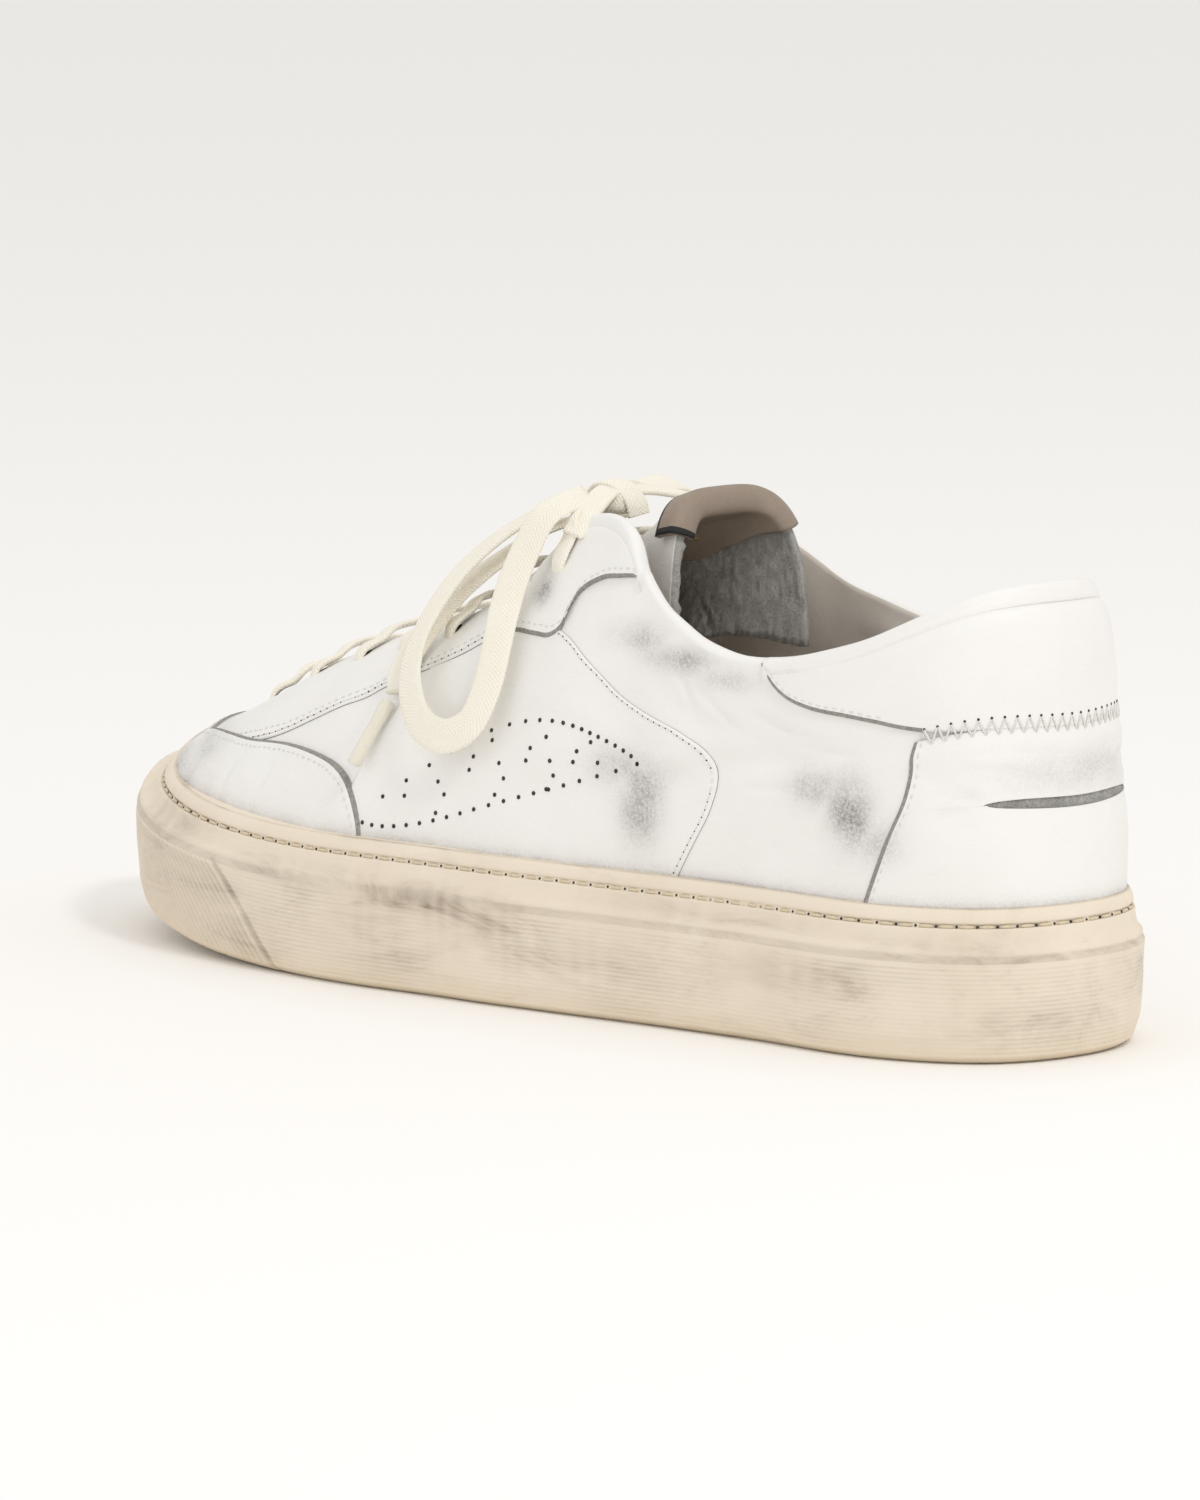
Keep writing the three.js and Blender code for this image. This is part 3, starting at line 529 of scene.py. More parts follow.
# ---------------------------------------------------------------- materials
class Nodes:
    """Short spelling for building one material's nodes."""

    def __init__(self, name):
        self.material = bpy.data.materials.new(name)
        self.material.use_nodes = True
        self.tree = self.material.node_tree
        self.shader = self.tree.nodes["Principled BSDF"]

    def node(self, kind, inputs=None, **settings):
        made = self.tree.nodes.new(kind)
        for key, value in settings.items():
            setattr(made, key, value)
        for key, value in (inputs or {}).items():
            self.put(made.inputs[key], value)
        return made

    def put(self, socket, value):
        if isinstance(value, bpy.types.NodeSocket):
            self.tree.links.new(value, socket)
        elif socket.type == "RGBA":
            socket.default_value = (*value, 1.0)
        else:
            socket.default_value = value

    def position(self, scale=(1, 1, 1)):
        coordinates = self.node("ShaderNodeTexCoord").outputs["Object"]
        return self.node("ShaderNodeMapping", {"Vector": coordinates, "Scale": scale}).outputs["Vector"]

    def noise(self, scale, detail=4.0, roughness=0.55, vector=None, distortion=0.0):
        inputs = {
            "Vector": vector or self.position(), "Scale": scale, "Detail": detail,
            "Roughness": roughness, "Distortion": distortion,
        }
        return self.node("ShaderNodeTexNoise", inputs).outputs["Fac"]

    def cells(self, scale):
        inputs = {"Vector": self.position(), "Scale": scale}
        return self.node("ShaderNodeTexVoronoi", inputs).outputs["Distance"]

    def attribute(self, name):
        return self.node("ShaderNodeAttribute", attribute_name=name).outputs["Fac"]

    def maths(self, operation, a, b=0.5, clamp=False):
        made = self.node("ShaderNodeMath", operation=operation, use_clamp=clamp)
        self.put(made.inputs[0], a)
        self.put(made.inputs[1], b)
        return made.outputs["Value"]

    def spread(self, value, low, high, to_low=0.0, to_high=1.0):
        inputs = {
            "Value": value, "From Min": low, "From Max": high, "To Min": to_low, "To Max": to_high,
        }
        return self.node("ShaderNodeMapRange", inputs).outputs["Result"]

    def mix(self, factor, a, b):
        made = self.node("ShaderNodeMix", data_type="RGBA")
        for socket, value in ((made.inputs["Factor"], factor), (made.inputs[6], a), (made.inputs[7], b)):
            self.put(socket, value)
        return made.outputs[2]

    def bump(self, height, distance, strength=1.0, normal=None):
        inputs = {"Height": height, "Distance": distance, "Strength": strength}
        if normal is not None:
            inputs["Normal"] = normal
        return self.node("ShaderNodeBump", inputs).outputs["Normal"]

    def finish(self, color, roughness, normal=None, **sockets):
        self.put(self.shader.inputs["Base Color"], color)
        self.put(self.shader.inputs["Roughness"], roughness)
        if normal is not None:
            self.put(self.shader.inputs["Normal"], normal)
        for key, value in sockets.items():
            self.shader.inputs[key.replace("_", " ")].default_value = value
        return self.material


def leather_material():
    n = Nodes("white_leather")
    wear_and_shade = n.attribute("wear_and_shade")
    broad = n.noise(38, 3)
    fine = n.noise(900, 6, 0.7)
    speckle = n.noise(1500, 3, 0.8)
    color = n.mix(n.spread(broad, 0.35, 0.75), (0.9, 0.892, 0.872), (0.862, 0.85, 0.826))
    # The wear mask carries real scuffs and the painted shade above the rubber rim; both darken the leather
    # towards this grey.
    rub_and_shade = n.maths("MULTIPLY", wear_and_shade, n.spread(speckle, 0.3, 0.7, 0.35, 1.35), clamp=True)
    rub_and_shade = n.maths("MULTIPLY", rub_and_shade, n.spread(n.noise(120, 4), 0.3, 0.65, 0.55, 1.15), clamp=True)
    color = n.mix(rub_and_shade, color, (0.17, 0.155, 0.14))
    wrinkle = n.noise(260, 5, 0.6, vector=n.position((1, 0.55, 1.6)), distortion=0.6)
    normal = n.bump(n.cells(1300), 0.00012, 0.22)
    normal = n.bump(wrinkle, 0.0006, 0.3, normal)
    normal = n.bump(fine, 0.0002, 0.18, normal)
    rough = n.maths("ADD", n.spread(fine, 0.3, 0.7, 0.42, 0.56), n.maths("MULTIPLY", rub_and_shade, 0.3))
    return n.finish(color, rough, normal, Specular_IOR_Level=0.4)


def raw_edge_material():
    n = Nodes("raw_leather_edge")
    fibre = n.noise(1400, 5, 0.75)
    color = n.mix(n.spread(fibre, 0.3, 0.7), (0.2, 0.19, 0.175), (0.46, 0.44, 0.41))
    return n.finish(color, 0.95, n.bump(fibre, 0.0003, 0.8), Specular_IOR_Level=0.15)


def suede_material(name, dark, light, nap=1.0):
    n = Nodes(name)
    fuzz = n.noise(1700, 6, 0.8)
    patches = n.noise(170, 4, 0.6, distortion=0.8)
    color = n.mix(n.spread(patches, 0.35, 0.65), dark, light)
    color = n.mix(n.spread(fuzz, 0.35, 0.7, 0.0, 0.65), color, tuple(min(1.0, c * 1.75) for c in light))
    normal = n.bump(fuzz, 0.0007 * nap, 0.9)
    normal = n.bump(patches, 0.0009 * nap, 0.5, normal)
    return n.finish(color, 0.97, normal, Specular_IOR_Level=0.1, Sheen_Weight=0.35, Sheen_Roughness=0.5)


def lining_material():
    n = Nodes("lining_leather")
    broad = n.noise(45, 4)
    fine = n.noise(1000, 5, 0.7)
    wear_and_shade = n.attribute("wear_and_shade")
    color = n.mix(n.spread(broad, 0.35, 0.7), (0.66, 0.61, 0.55), (0.55, 0.5, 0.44))
    # The wear mask carries real wear on the footbed and painted shade low on the lining inside the shoe; both
    # darken towards this brown.
    color = n.mix(n.maths("MULTIPLY", wear_and_shade, 0.55), color, (0.3, 0.26, 0.22))
    normal = n.bump(fine, 0.0003, 0.3)
    normal = n.bump(broad, 0.003, 0.15, normal)
    return n.finish(color, 0.8, normal, Specular_IOR_Level=0.25)


def rubber_material():
    n = Nodes("aged_rubber")
    dirt_and_shade = n.attribute("dirt_and_shade")
    edge = n.attribute("yellow")
    broad = n.noise(30, 4, 0.6)
    stain = n.noise(70, 6, 0.7, vector=n.position((1, 0.45, 1.8)), distortion=0.9)
    grit = n.noise(1400, 4, 0.8)
    color = n.mix(n.spread(broad, 0.3, 0.7), (0.86, 0.77, 0.645), (0.8, 0.705, 0.575))
    color = n.mix(edge, color, (0.84, 0.69, 0.48))
    # The dirt mask carries real dirt spots and painted shade in the sole's grooves, rib troughs, ledge and
    # rim; both darken towards this brown.
    soil_and_shade = n.maths("MULTIPLY", dirt_and_shade, n.spread(stain, 0.35, 0.65, 0.25, 1.2), clamp=True)
    soil_and_shade = n.maths("ADD", soil_and_shade, n.spread(stain, 0.56, 0.8, 0.0, 0.22), clamp=True)
    color = n.mix(soil_and_shade, color, (0.3, 0.235, 0.17))
    color = n.mix(n.spread(grit, 0.62, 0.8, 0.0, 0.3), color, (0.42, 0.34, 0.25))
    normal = n.bump(grit, 0.0002, 0.25)
    normal = n.bump(stain, 0.0006, 0.15, normal)
    rough = n.spread(stain, 0.3, 0.7, 0.5, 0.72)
    return n.finish(color, rough, normal, Specular_IOR_Level=0.35)


def cotton_material():
    n = Nodes("lace_weave")
    along, across = n.attribute("along"), n.attribute("across")
    side = n.maths("ABSOLUTE", across)
    phase = n.maths("ADD", n.maths("MULTIPLY", along, 6.8), n.maths("MULTIPLY", side, 5.2))
    twill = n.maths("SINE", phase)
    rows = n.maths("SINE", n.maths("MULTIPLY", across, 9.5))
    rows = n.maths("ADD", n.maths("MULTIPLY", rows, 0.35), 1.0)
    weave = n.maths("MULTIPLY", n.maths("ADD", twill, 1.0), rows)
    fuzz = n.noise(1600, 4, 0.8)
    broad = n.noise(90, 4)
    color = n.mix(n.spread(broad, 0.3, 0.7), (0.985, 0.955, 0.865), (0.97, 0.925, 0.81))
    # Darker in the dips of the weave: painted shade between the threads.
    color = n.mix(n.spread(weave, 0.0, 2.0, 0.2, 0.0), color, (0.74, 0.65, 0.5))
    normal = n.bump(weave, 0.00022, 0.4)
    normal = n.bump(fuzz, 0.0002, 0.2, normal)
    return n.finish(color, 0.93, normal, Specular_IOR_Level=0.12, Sheen_Weight=0.1, Sheen_Roughness=0.5)


def thread_material(name, color):
    n = Nodes(name)
    twist = n.noise(2600, 3, 0.7)
    mixed = n.mix(n.spread(twist, 0.3, 0.7), color, tuple(c * 0.78 for c in color))
    return n.finish(mixed, 0.8, n.bump(twist, 0.0001, 0.5), Specular_IOR_Level=0.2)


def plain_material(name, color, roughness, scale=400, depth=0.0002, vary=0.85, **sockets):
    n = Nodes(name)
    grain = n.noise(scale, 5, 0.65)
    mixed = n.mix(n.spread(grain, 0.3, 0.7), color, tuple(c * vary for c in color))
    return n.finish(mixed, roughness, n.bump(grain, depth, 0.4), **sockets)


WHITE_LEATHER = leather_material()
RAW_EDGE = raw_edge_material()
GREY_SUEDE = suede_material("grey_suede", (0.27, 0.262, 0.245), (0.5, 0.49, 0.465))
# A darker copy of the grey suede for the recess behind the heel slit: painted shade.
SHADED_SLIT_SUEDE = suede_material("shaded_slit_suede", (0.2, 0.195, 0.185), (0.36, 0.35, 0.335), 0.6)
LINING = lining_material()
RUBBER = rubber_material()
COTTON = cotton_material()
WHITE_THREAD = thread_material("white_thread", (0.86, 0.85, 0.82))
SOLE_THREAD = thread_material("sole_thread", (0.78, 0.67, 0.5))
HOLE_DARK = plain_material("hole_shadow", (0.06, 0.05, 0.042), 1.0, vary=0.6)
TAUPE = plain_material("taupe_leather", (0.33, 0.265, 0.21), 0.55, 700, 0.0002, 0.88, Specular_IOR_Level=0.35)
BLACK_TRIM = plain_material("black_binding", (0.012, 0.012, 0.013), 0.7, 900, 0.0002)
GOLD_FOIL = plain_material("gold_foil", (0.62, 0.42, 0.16), 0.35, 900, 0.0001, 0.8, Metallic=0.75)
AGLET = plain_material("aglet_plastic", (0.96, 0.92, 0.8), 0.18, 300, 0.0001, 0.94, Transmission_Weight=0.2)

# ---------------------------------------------------------------- camera
CAMERA_AT = (-1577.6, -1634.2, 376.0)
AIM_AT = (-2.0, 2.0, 52.0)
LENS = 304.0

camera = add_object("camera", bpy.data.cameras.new("camera"))
bpy.context.scene.camera = camera
aim(camera, in_metres(CAMERA_AT), in_metres(AIM_AT))
camera.data.lens = LENS
camera.data.sensor_fit = "HORIZONTAL"
camera.data.sensor_width = 36.0
camera.data.clip_start = 0.05
camera.data.clip_end = 50.0

# ---------------------------------------------------------------- laces
LACE_WIDTH = 8.0
LACE_THICKNESS = 1.6
LACE_SIDES = 18
LACE_STEPS = 130
LATERAL_LOOP = [
    (-13, -3, 111.5), (-16, 7, 107), (-20, 17, 100.3), (-25, 23.5, 92.8), (-31.3, 26, 84.3),
    (-38.5, 24.5, 75.8), (-44.3, 19.5, 67.8), (-47.5, 12, 61), (-48, 3.5, 59.5), (-46.5, -2.5, 63),
    (-43, -4, 70.5), (-39, -3, 79), (-34, -1, 88.5), (-29.5, -1.5, 98.5), (-25, -5, 108.5),
    (-17, -9.5, 112.6),
]
LATERAL_LOOP_FACES = [(-0.3, 0.5, 0.9), (-0.9, 0.3, 0.4), (-1, 0, 0.2), (-0.95, -0.2, 0.3), (-0.5, -0.2, 0.9)]
LATERAL_END = [
    (-12, -3, 106.3), (-13.5, 8, 102.5), (-17, 18.5, 95.5), (-22.5, 27.5, 87), (-29.5, 31.5, 77.5),
    (-36, 31.5, 70), (-39.5, 30.5, 66),
]
LATERAL_END_FACES = [(-0.2, 0.5, 0.9), (-0.7, 0.3, 0.7), (-0.95, 0, 0.3), (-1, 0, 0.1)]
LATERAL_AGLET = [(-40.9, 30.2, 64.2), (-48.5, 34, 50)]
MEDIAL_LOOP = [
    (-3, -2.5, 112), (1.5, 6, 108.5), (6, 14, 104.3), (12.5, 20.5, 98), (21.5, 24, 91),
    (30.8, 23.5, 82), (37.8, 19.5, 72.5), (40, 12, 63.5), (40, 3, 60.5), (38, -4, 63.5),
    (34.5, -7, 71), (31.5, -7, 80), (28.5, -5.5, 90), (25, -3.8, 101), (17, -4.8, 111.2),
    (1, -9, 112.6),
]
MEDIAL_LOOP_FACES = [(0.3, 0.5, 0.9), (0.9, 0.3, 0.4), (1, 0, 0.2), (0.95, -0.2, 0.3), (0.3, -0.2, 0.9)]
MEDIAL_END = [
    (-1.5, -2.5, 106.3), (2, 8, 102.5), (7, 17.5, 97.5), (14, 26, 91.5), (21.5, 31, 84),
    (28, 31.5, 76), (32, 30, 70),
]
MEDIAL_END_FACES = [(0.2, 0.5, 0.9), (0.7, 0.3, 0.7), (0.95, 0, 0.3), (1, 0, 0.1)]
MEDIAL_AGLET = [(33.6, 29.6, 68.2), (41.4, 32.5, 53)]
KNOT_CENTRE = np.array([-9, -10.5, 110.4])
KNOT_RADII = np.array([6.6, 5.6, 3.2])


def lace_geometry(route, faces, width=LACE_WIDTH, thickness=LACE_THICKNESS, taper=0.0, pinch=0.0):
    """A flat woven lace with softly rounded edges: points, faces and its along and across measures.

    taper narrows its last end and pinch narrows both ends, as shares of the width."""
    count, sides = len(route), LACE_SIDES
    forward = unit(np.gradient(route, axis=0))
    side = unit(np.cross(forward, faces))
    face = np.cross(side, forward)
    run = run_along(route)
    angle = np.arange(sides) / sides * 2 * np.pi + np.pi / sides
    across = np.sign(np.cos(angle)) * np.abs(np.cos(angle)) ** 0.75 * width / 2
    lift = np.sign(np.sin(angle)) * np.abs(np.sin(angle)) ** 0.85 * thickness / 2
    wobble = 0.25 * np.sin(run * 0.31 + 1.0) + 0.15 * np.sin(run * 0.83)
    widths = 1 + 0.03 * wobble
    widths *= 1 - taper * smooth(run[-1] - 6, run[-1], run)
    widths *= 1 - pinch * (1 - smooth(0.5, 6.5, np.minimum(run, run[-1] - run)))
    cup = -0.18 * (1 - (across / (width / 2)) ** 2)
    points = (
        route[:, None]
        + side[:, None] * (across[None] * widths[:, None])[..., None]
        + face[:, None] * (lift + cup)[None, :, None]
    )
    first = fan_faces(list(range(sides)))
    last = fan_faces([(count - 1) * sides + k for k in range(sides)][::-1])
    quads = np.concatenate([grid_faces(count, sides, wrap_v=True), first, last])
    return points.reshape(-1, 3), quads, np.repeat(run, sides), np.tile(across, count)


def lace_piece(name, route, faces, replaces=(), **shape):
    points, quads, along, across = lace_geometry(route, faces, **shape)
    return piece(
        name, points, quads, [COTTON],
        attributes={"along": along, "across": across}, replaces=replaces,
    )


def free_lace(name, node, points, face_rows, aglet=None):
    """A loop or an end of the bow: one free cord, narrowed into its plastic tip where it has one."""
    route = catmull_rom(points, LACE_STEPS)
    faces = unit(catmull_rom(face_rows, LACE_STEPS))
    obj = lace_piece(name, route, faces, replaces=(node,), taper=0.45 if aglet else 0.0)


def aglet_piece(name, node, ends):
    """A rolled plastic tip: a thin tube, a touch waisted, with rounded ends."""
    start, end = np.array(ends, float)
    axis = unit(end - start)
    side = unit(np.cross(axis, [0.0, 0.0, 1.0]))
    other = np.cross(axis, side)
    length = np.linalg.norm(end - start)
    stops = [
        # distance along the tip, radius
        (0.0, 0.2), (0.0, 1.35), (0.25, 1.62), (1.2, 1.7), (4, 1.55), (8, 1.5), (12, 1.55),
        (length - 1, 1.6), (length - 0.25, 1.5), (length, 1.2), (length, 0.2),
    ]
    angle = np.arange(20) / 20 * 2 * np.pi
    around = np.cos(angle)[:, None] * side + np.sin(angle)[:, None] * other
    points = np.stack([start + axis * along + radius * around for along, radius in stops], 1)
    faces = capped_faces(len(angle), len(stops))
    return piece(name, points, faces, [AGLET], replaces=(node,))


aglet_out = aglet_piece("lace_tip_lateral", "aglet_lateral", LATERAL_AGLET)
aglet_in = aglet_piece("lace_tip_medial", "aglet_medial", MEDIAL_AGLET)
free_lace("bow_loop_lateral", "lace_loop_lateral", LATERAL_LOOP, LATERAL_LOOP_FACES)
free_lace("bow_end_lateral", "lace_end_lateral", LATERAL_END, LATERAL_END_FACES, aglet_out)
free_lace("bow_loop_medial", "lace_loop_medial", MEDIAL_LOOP, MEDIAL_LOOP_FACES)
free_lace("bow_end_medial", "lace_end_medial", MEDIAL_END, MEDIAL_END_FACES, aglet_in)

# The knot: a woven core with bands of lace wrapped over it.
KNOT_POLE = 0.12
KNOT_COLUMNS, KNOT_LEVELS = 40, 21
turn, rise = np.meshgrid(
    np.arange(KNOT_COLUMNS) / KNOT_COLUMNS * 2 * np.pi,
    np.linspace(KNOT_POLE - np.pi / 2, np.pi / 2 - KNOT_POLE, KNOT_LEVELS), indexing="ij",
)
bulge = 1 + 0.07 * np.sin(3 * turn + 1.2) * np.cos(rise) + 0.05 * np.sin(5 * rise + turn)
core = np.stack([np.cos(turn) * np.cos(rise), np.sin(turn) * np.cos(rise), np.sin(rise)], -1)
piece(
    "bow_knot", KNOT_CENTRE + core * bulge[..., None] * KNOT_RADII, capped_faces(KNOT_COLUMNS, KNOT_LEVELS),
    [COTTON], replaces=("lace_knot",), attributes={"along": turn * 6, "across": rise * 3},
)
KNOT_BANDS = [
    # route over the knot, which way its face looks, width
    ([(-8, -16.8, 107.6), (-8.4, -16.2, 110.6), (-8.8, -13, 113.9), (-9, -9, 114.6), (-8.8, -5.4, 113.2),
      (-8.4, -3.6, 110), (-8.2, -3.4, 107.4)],
     [(0, -1, 0.1), (0, -0.5, 0.9), (0, 0.2, 1), (0, 1, 0.2)], 6.6),
    ([(-24.5, -12.5, 104.2), (-21, -13.4, 108.5), (-17, -13, 111.6), (-12.5, -11.6, 113.2),
      (-8, -10.4, 113.6)],
     [(-0.8, -0.1, 0.6), (-0.5, -0.3, 0.9), (-0.1, -0.1, 1)], 6.4),
    ([(-5.5, -11.5, 112.9), (-1, -15, 112.6), (4.5, -19.5, 111.4), (9.5, -25, 110.6), (13.5, -31, 109)],
     [(0, -0.2, 1), (0.2, -0.2, 1), (0.4, -0.2, 0.9)], 6.2),
]
BAND_STEPS = 44
BAND_THICKNESS = 1.7
bands, measures = Bag(), []
for route, faces, width in KNOT_BANDS:
    route, faces = catmull_rom(route, BAND_STEPS), unit(catmull_rom(faces, BAND_STEPS))
    points, quads, *measure = lace_geometry(route, faces, width=width, thickness=BAND_THICKNESS)
    bands.add(points, quads)
    measures.append(measure)
along, across = np.concatenate(measures, 1)
bands.piece("bow_knot_bands", COTTON, "lace_cotton", {"along": along, "across": across})

# ---------------------------------------------------------------- lace crossings and eyelets
EYELET_COUNT = 7
EYELET_FRONT_Y = 95.5
EYELET_BACK_Y = -11.0
EYELET_LEVEL = 0.88
LACE_CLEARANCE = LACE_THICKNESS / 2 + 1.2
EDGE_ROUND = 0.7
BAR_WIDTH = 6.4
BAR_PINCH = 0.42
BAR_CROWN = 1.2
TOP_BAR_SAG = -3.6
CROSSING_ENDS = np.array([
    # v, and how far off its usual height over the leather the lace is there
    [EYELET_LEVEL - 0.045, -2.6], [EYELET_LEVEL - 0.012, -0.4], [EYELET_LEVEL + 0.02, 0.15],
    [0.95, 0], [1, 1.4 * EDGE_ROUND],
])


def eyelet_station(index, side):
    """The station of an eyelet, counted from the front; side is -1 on the outer side, 1 on the inner."""
    y = EYELET_FRONT_Y + (EYELET_BACK_Y - EYELET_FRONT_Y) * index / (EYELET_COUNT - 1)
    low, high = (ROUND - 15, ROUND - 7.6) if side > 0 else (15, 7.6)
    for _ in range(40):
        middle = (low + high) / 2
        if top_edge(middle)[1] > y:
            low = middle
        else:
            high = middle
    return (low + high) / 2


def crossing(index):
    """One straight run of lace over the throat, from one eyelet to the other."""
    v, extra = CROSSING_ENDS.T
    ends = []
    for side in (-1, 1):
        t = eyelet_station(index, side)
        normal = upper_normal(t, v)
        ends.append((upper_surface(t, v) + normal * (LACE_CLEARANCE + extra)[:, None], normal))
    (left, left_n), (right, right_n) = ends
    sag = TOP_BAR_SAG if index == EYELET_COUNT - 1 else BAR_CROWN
    middle = [lerp(left[-1], right[-1], part) + np.array([0, 0, sag]) for part in (0.36, 0.5, 0.64)]
    crown = [np.array([0, 0.24, 0.97])] * 3
    route = catmull_rom(np.vstack([left, middle, right[::-1]]), 70)
    faces = unit(catmull_rom(np.vstack([left_n, crown, right_n[::-1]]), 70))
    return route, faces


for index in range(EYELET_COUNT):
    route, faces = crossing(index)
    width = BAR_WIDTH + 0.4 * math.sin(index * 2.1)
    lace_piece(
        f"lace_crossing_{index + 1}", route, faces, replaces=(f"lace_bar_{index + 1}",),
        width=width, pinch=BAR_PINCH,
    )

# ---------------------------------------------------------------- upper: the shell under the overlays
FLAP_THICKNESS = 1.1
STAY_THICKNESS = 0.55
COLLAR_THICKNESS = 0.9
QUARTER_THICKNESS = 0.5
HEEL_THICKNESS = 0.9
TOE_THICKNESS = 1.15
# Where the collar band ends and the eyelet flap lies along the top edge, in stations from the heel.
COLLAR_END = 3.28
FLAP_SPAN = (6.12, 8.84)


def wall_thickness(t, v):
    padded = 1 - smooth(4.2, 7, stations_from_heel(t))
    return LEATHER_WALL + COLLAR_PADDING * padded * smooth(0.5, 0.72, v) * (1 - 0.55 * smooth(0.9, 1, v))


def lip_height(t):
    """How thick the overlays are where they turn over the top edge."""
    from_heel = stations_from_heel(t)
    collar = COLLAR_THICKNESS * (from_heel < COLLAR_END)
    flap = FLAP_THICKNESS * ((from_heel > FLAP_SPAN[0]) & (from_heel < FLAP_SPAN[1]))
    return collar + flap + STAY_THICKNESS * (from_heel >= FLAP_SPAN[1])


COLUMNS = 640
OUTSIDE_ROWS = 76
INSIDE_ROWS = 34
ROLL_ROWS = 9
ROLL_SHARE = 0.42
ROLL_HEIGHT = 0.92
LIP_START = 3.4
LIP_RAMP = 1.4
INSIDE_WAVE = 0.21
columns = np.arange(COLUMNS) * ROUND / COLUMNS
steepness = np.linalg.norm(upper_surface(columns, 1.0) - upper_surface(columns, 0.98), axis=-1) / 0.02
lip = lip_height(columns)
last_v = 1 - ROLL_SHARE * (wall_thickness(columns, 1.0) + lip) / steepness
v_out = np.linspace(0, 1, OUTSIDE_ROWS)[None] * last_v[:, None]
t_out = np.broadcast_to(columns[:, None], v_out.shape)
near_lip = smooth(0, 1, (v_out - (last_v - LIP_START / steepness)[:, None]) / (LIP_RAMP / steepness)[:, None])
outside = raised(t_out, v_out, lip[:, None] * near_lip)
v_in = v_out[:, ::-1][:, :: OUTSIDE_ROWS // INSIDE_ROWS][:, :INSIDE_ROWS]
t_in = np.broadcast_to(columns[:, None], v_in.shape)
inward = wall_thickness(t_in, v_in)
inward -= INSIDE_WAVE * np.sin(t_in * 5.1 + v_in * 9) * np.sin(t_in * 2.3 - v_in * 14)
inside = upper_surface(t_in, v_in) - upper_normal(t_in, v_in) * inward[..., None]
from_edge, to_edge = outside[:, -1], inside[:, 0]
up = unit(upper_surface(columns, last_v) - upper_surface(columns, last_v - 0.02))
centre = (from_edge + to_edge) / 2
radius = np.linalg.norm(from_edge - to_edge, axis=-1)[:, None] / 2
roll = np.stack([
    centre + (from_edge - centre) * math.cos(a) + up * radius * ROLL_HEIGHT * math.sin(a)
    for a in np.linspace(0, np.pi, ROLL_ROWS + 2)[1:-1]
], 1)
shell = np.concatenate([outside, roll, inside], 1)
ring_size = shell.shape[1]
row_of = np.concatenate([np.tile(np.arange(ring_size - 1), COLUMNS), np.full(COLUMNS, ring_size)])
shell_wear_and_shade = np.zeros(shell.shape[:2])
shell_wear_and_shade[:, :OUTSIDE_ROWS] = wear_and_rim_shade_at(outside)
# Inside, the lining is darker the lower it is: painted shade deep in the shoe.
shell_wear_and_shade[:, OUTSIDE_ROWS + ROLL_ROWS :] = 0.5 * np.exp(-np.clip(inside[..., 2] - 40, 0, 60) / 14)
piece(
    "upper_shell", shell, grid_faces(COLUMNS, ring_size, wrap_u=True, wrap_v=True), [WHITE_LEATHER, LINING],
    face_material=row_of >= OUTSIDE_ROWS + ROLL_ROWS - 3, attributes={"wear_and_shade": shell_wear_and_shade},
    replaces=("upper",),
)

# ---------------------------------------------------------------- overlays
for side in ("lateral", "medial"):
    flip = mirrored if side == "medial" else list
    panel(
        f"front_quarter_{side}", flip(QUARTER_EDGE),
        flip([(9.6, 0.7), (9.6, 0.5), (9.6, 0.3), (9.4, 0.1), (7.5, 0.1), (5.5, 0.1), (4.4, 0.1)]),
        QUARTER_THICKNESS, 240, 46, raw_rows=1,
    )
    panel(
        f"eyelet_flap_{side}", flip(FLAP_EDGE),
        flip([(8.84, 0.968), (8.3, 0.966), (7.8, 0.966), (7.2, 0.966), (6.7, 0.966), (6.22, 0.97)]),
        FLAP_THICKNESS, 220, 26,
    )
panel(
    "lace_stay", STAY_EDGE_SIDE + mirrored(STAY_EDGE_SIDE)[::-1][1:],
    [(8.6, 0.965), (10, 0.962), (12, 0.957), (13.5, 0.945), (15, 0.93), (16.5, 0.945), (18, 0.957),
     (20, 0.962), (21.4, 0.965)],
    STAY_THICKNESS, 400, 26, raw_rows=1,
)
panel(
    "toe_cap", TOE_EDGE_SIDE + mirrored(TOE_EDGE_SIDE)[::-1][1:],
    [(9.05, 0.09), (11, 0.08), (13, 0.08), (15, 0.08), (17, 0.08), (19, 0.08), (20.95, 0.09)],
    TOE_THICKNESS, 400, 34,
)


def around_heel(side_line):
    """A line on one side of the heel, carried round the back to the other side."""
    return side_line + [(-t, v) for t, v in side_line[::-1] if t > 0.01]


panel(
    "collar_band", around_heel(COLLAR_EDGE_SIDE),
    around_heel([(3.2, 0.968), (2.4, 0.955), (1.5, 0.95), (0.7, 0.95), (0.0, 0.95)]),
    COLLAR_THICKNESS, 400, 28, plain=1.4,
)

# The heel panel has a pointed slit round the back, so its rows part there and meet again past its tips.
HEEL_PANEL_ROUND = 95.0
HEEL_PANEL_FOOT = 0.09
HEEL_PANEL_TOP = 0.62
HEEL_PANEL_ROOT = 0.3
SLIT_LIP_SINK = 0.45
left_edge = tv_line(HEEL_EDGE_SIDE, 90)
slit_low, slit_high = SLIT_LEVEL - SLIT_HALF, SLIT_LEVEL + SLIT_HALF
near_slit = np.array([0.004, 0.0006, 0])
levels_low = np.concatenate([np.linspace(HEEL_PANEL_FOOT, slit_low - 0.012, 18), slit_low - near_slit])
levels_up = np.concatenate([slit_high + near_slit[::-1], np.linspace(slit_high + 0.012, HEEL_PANEL_TOP, 18)])


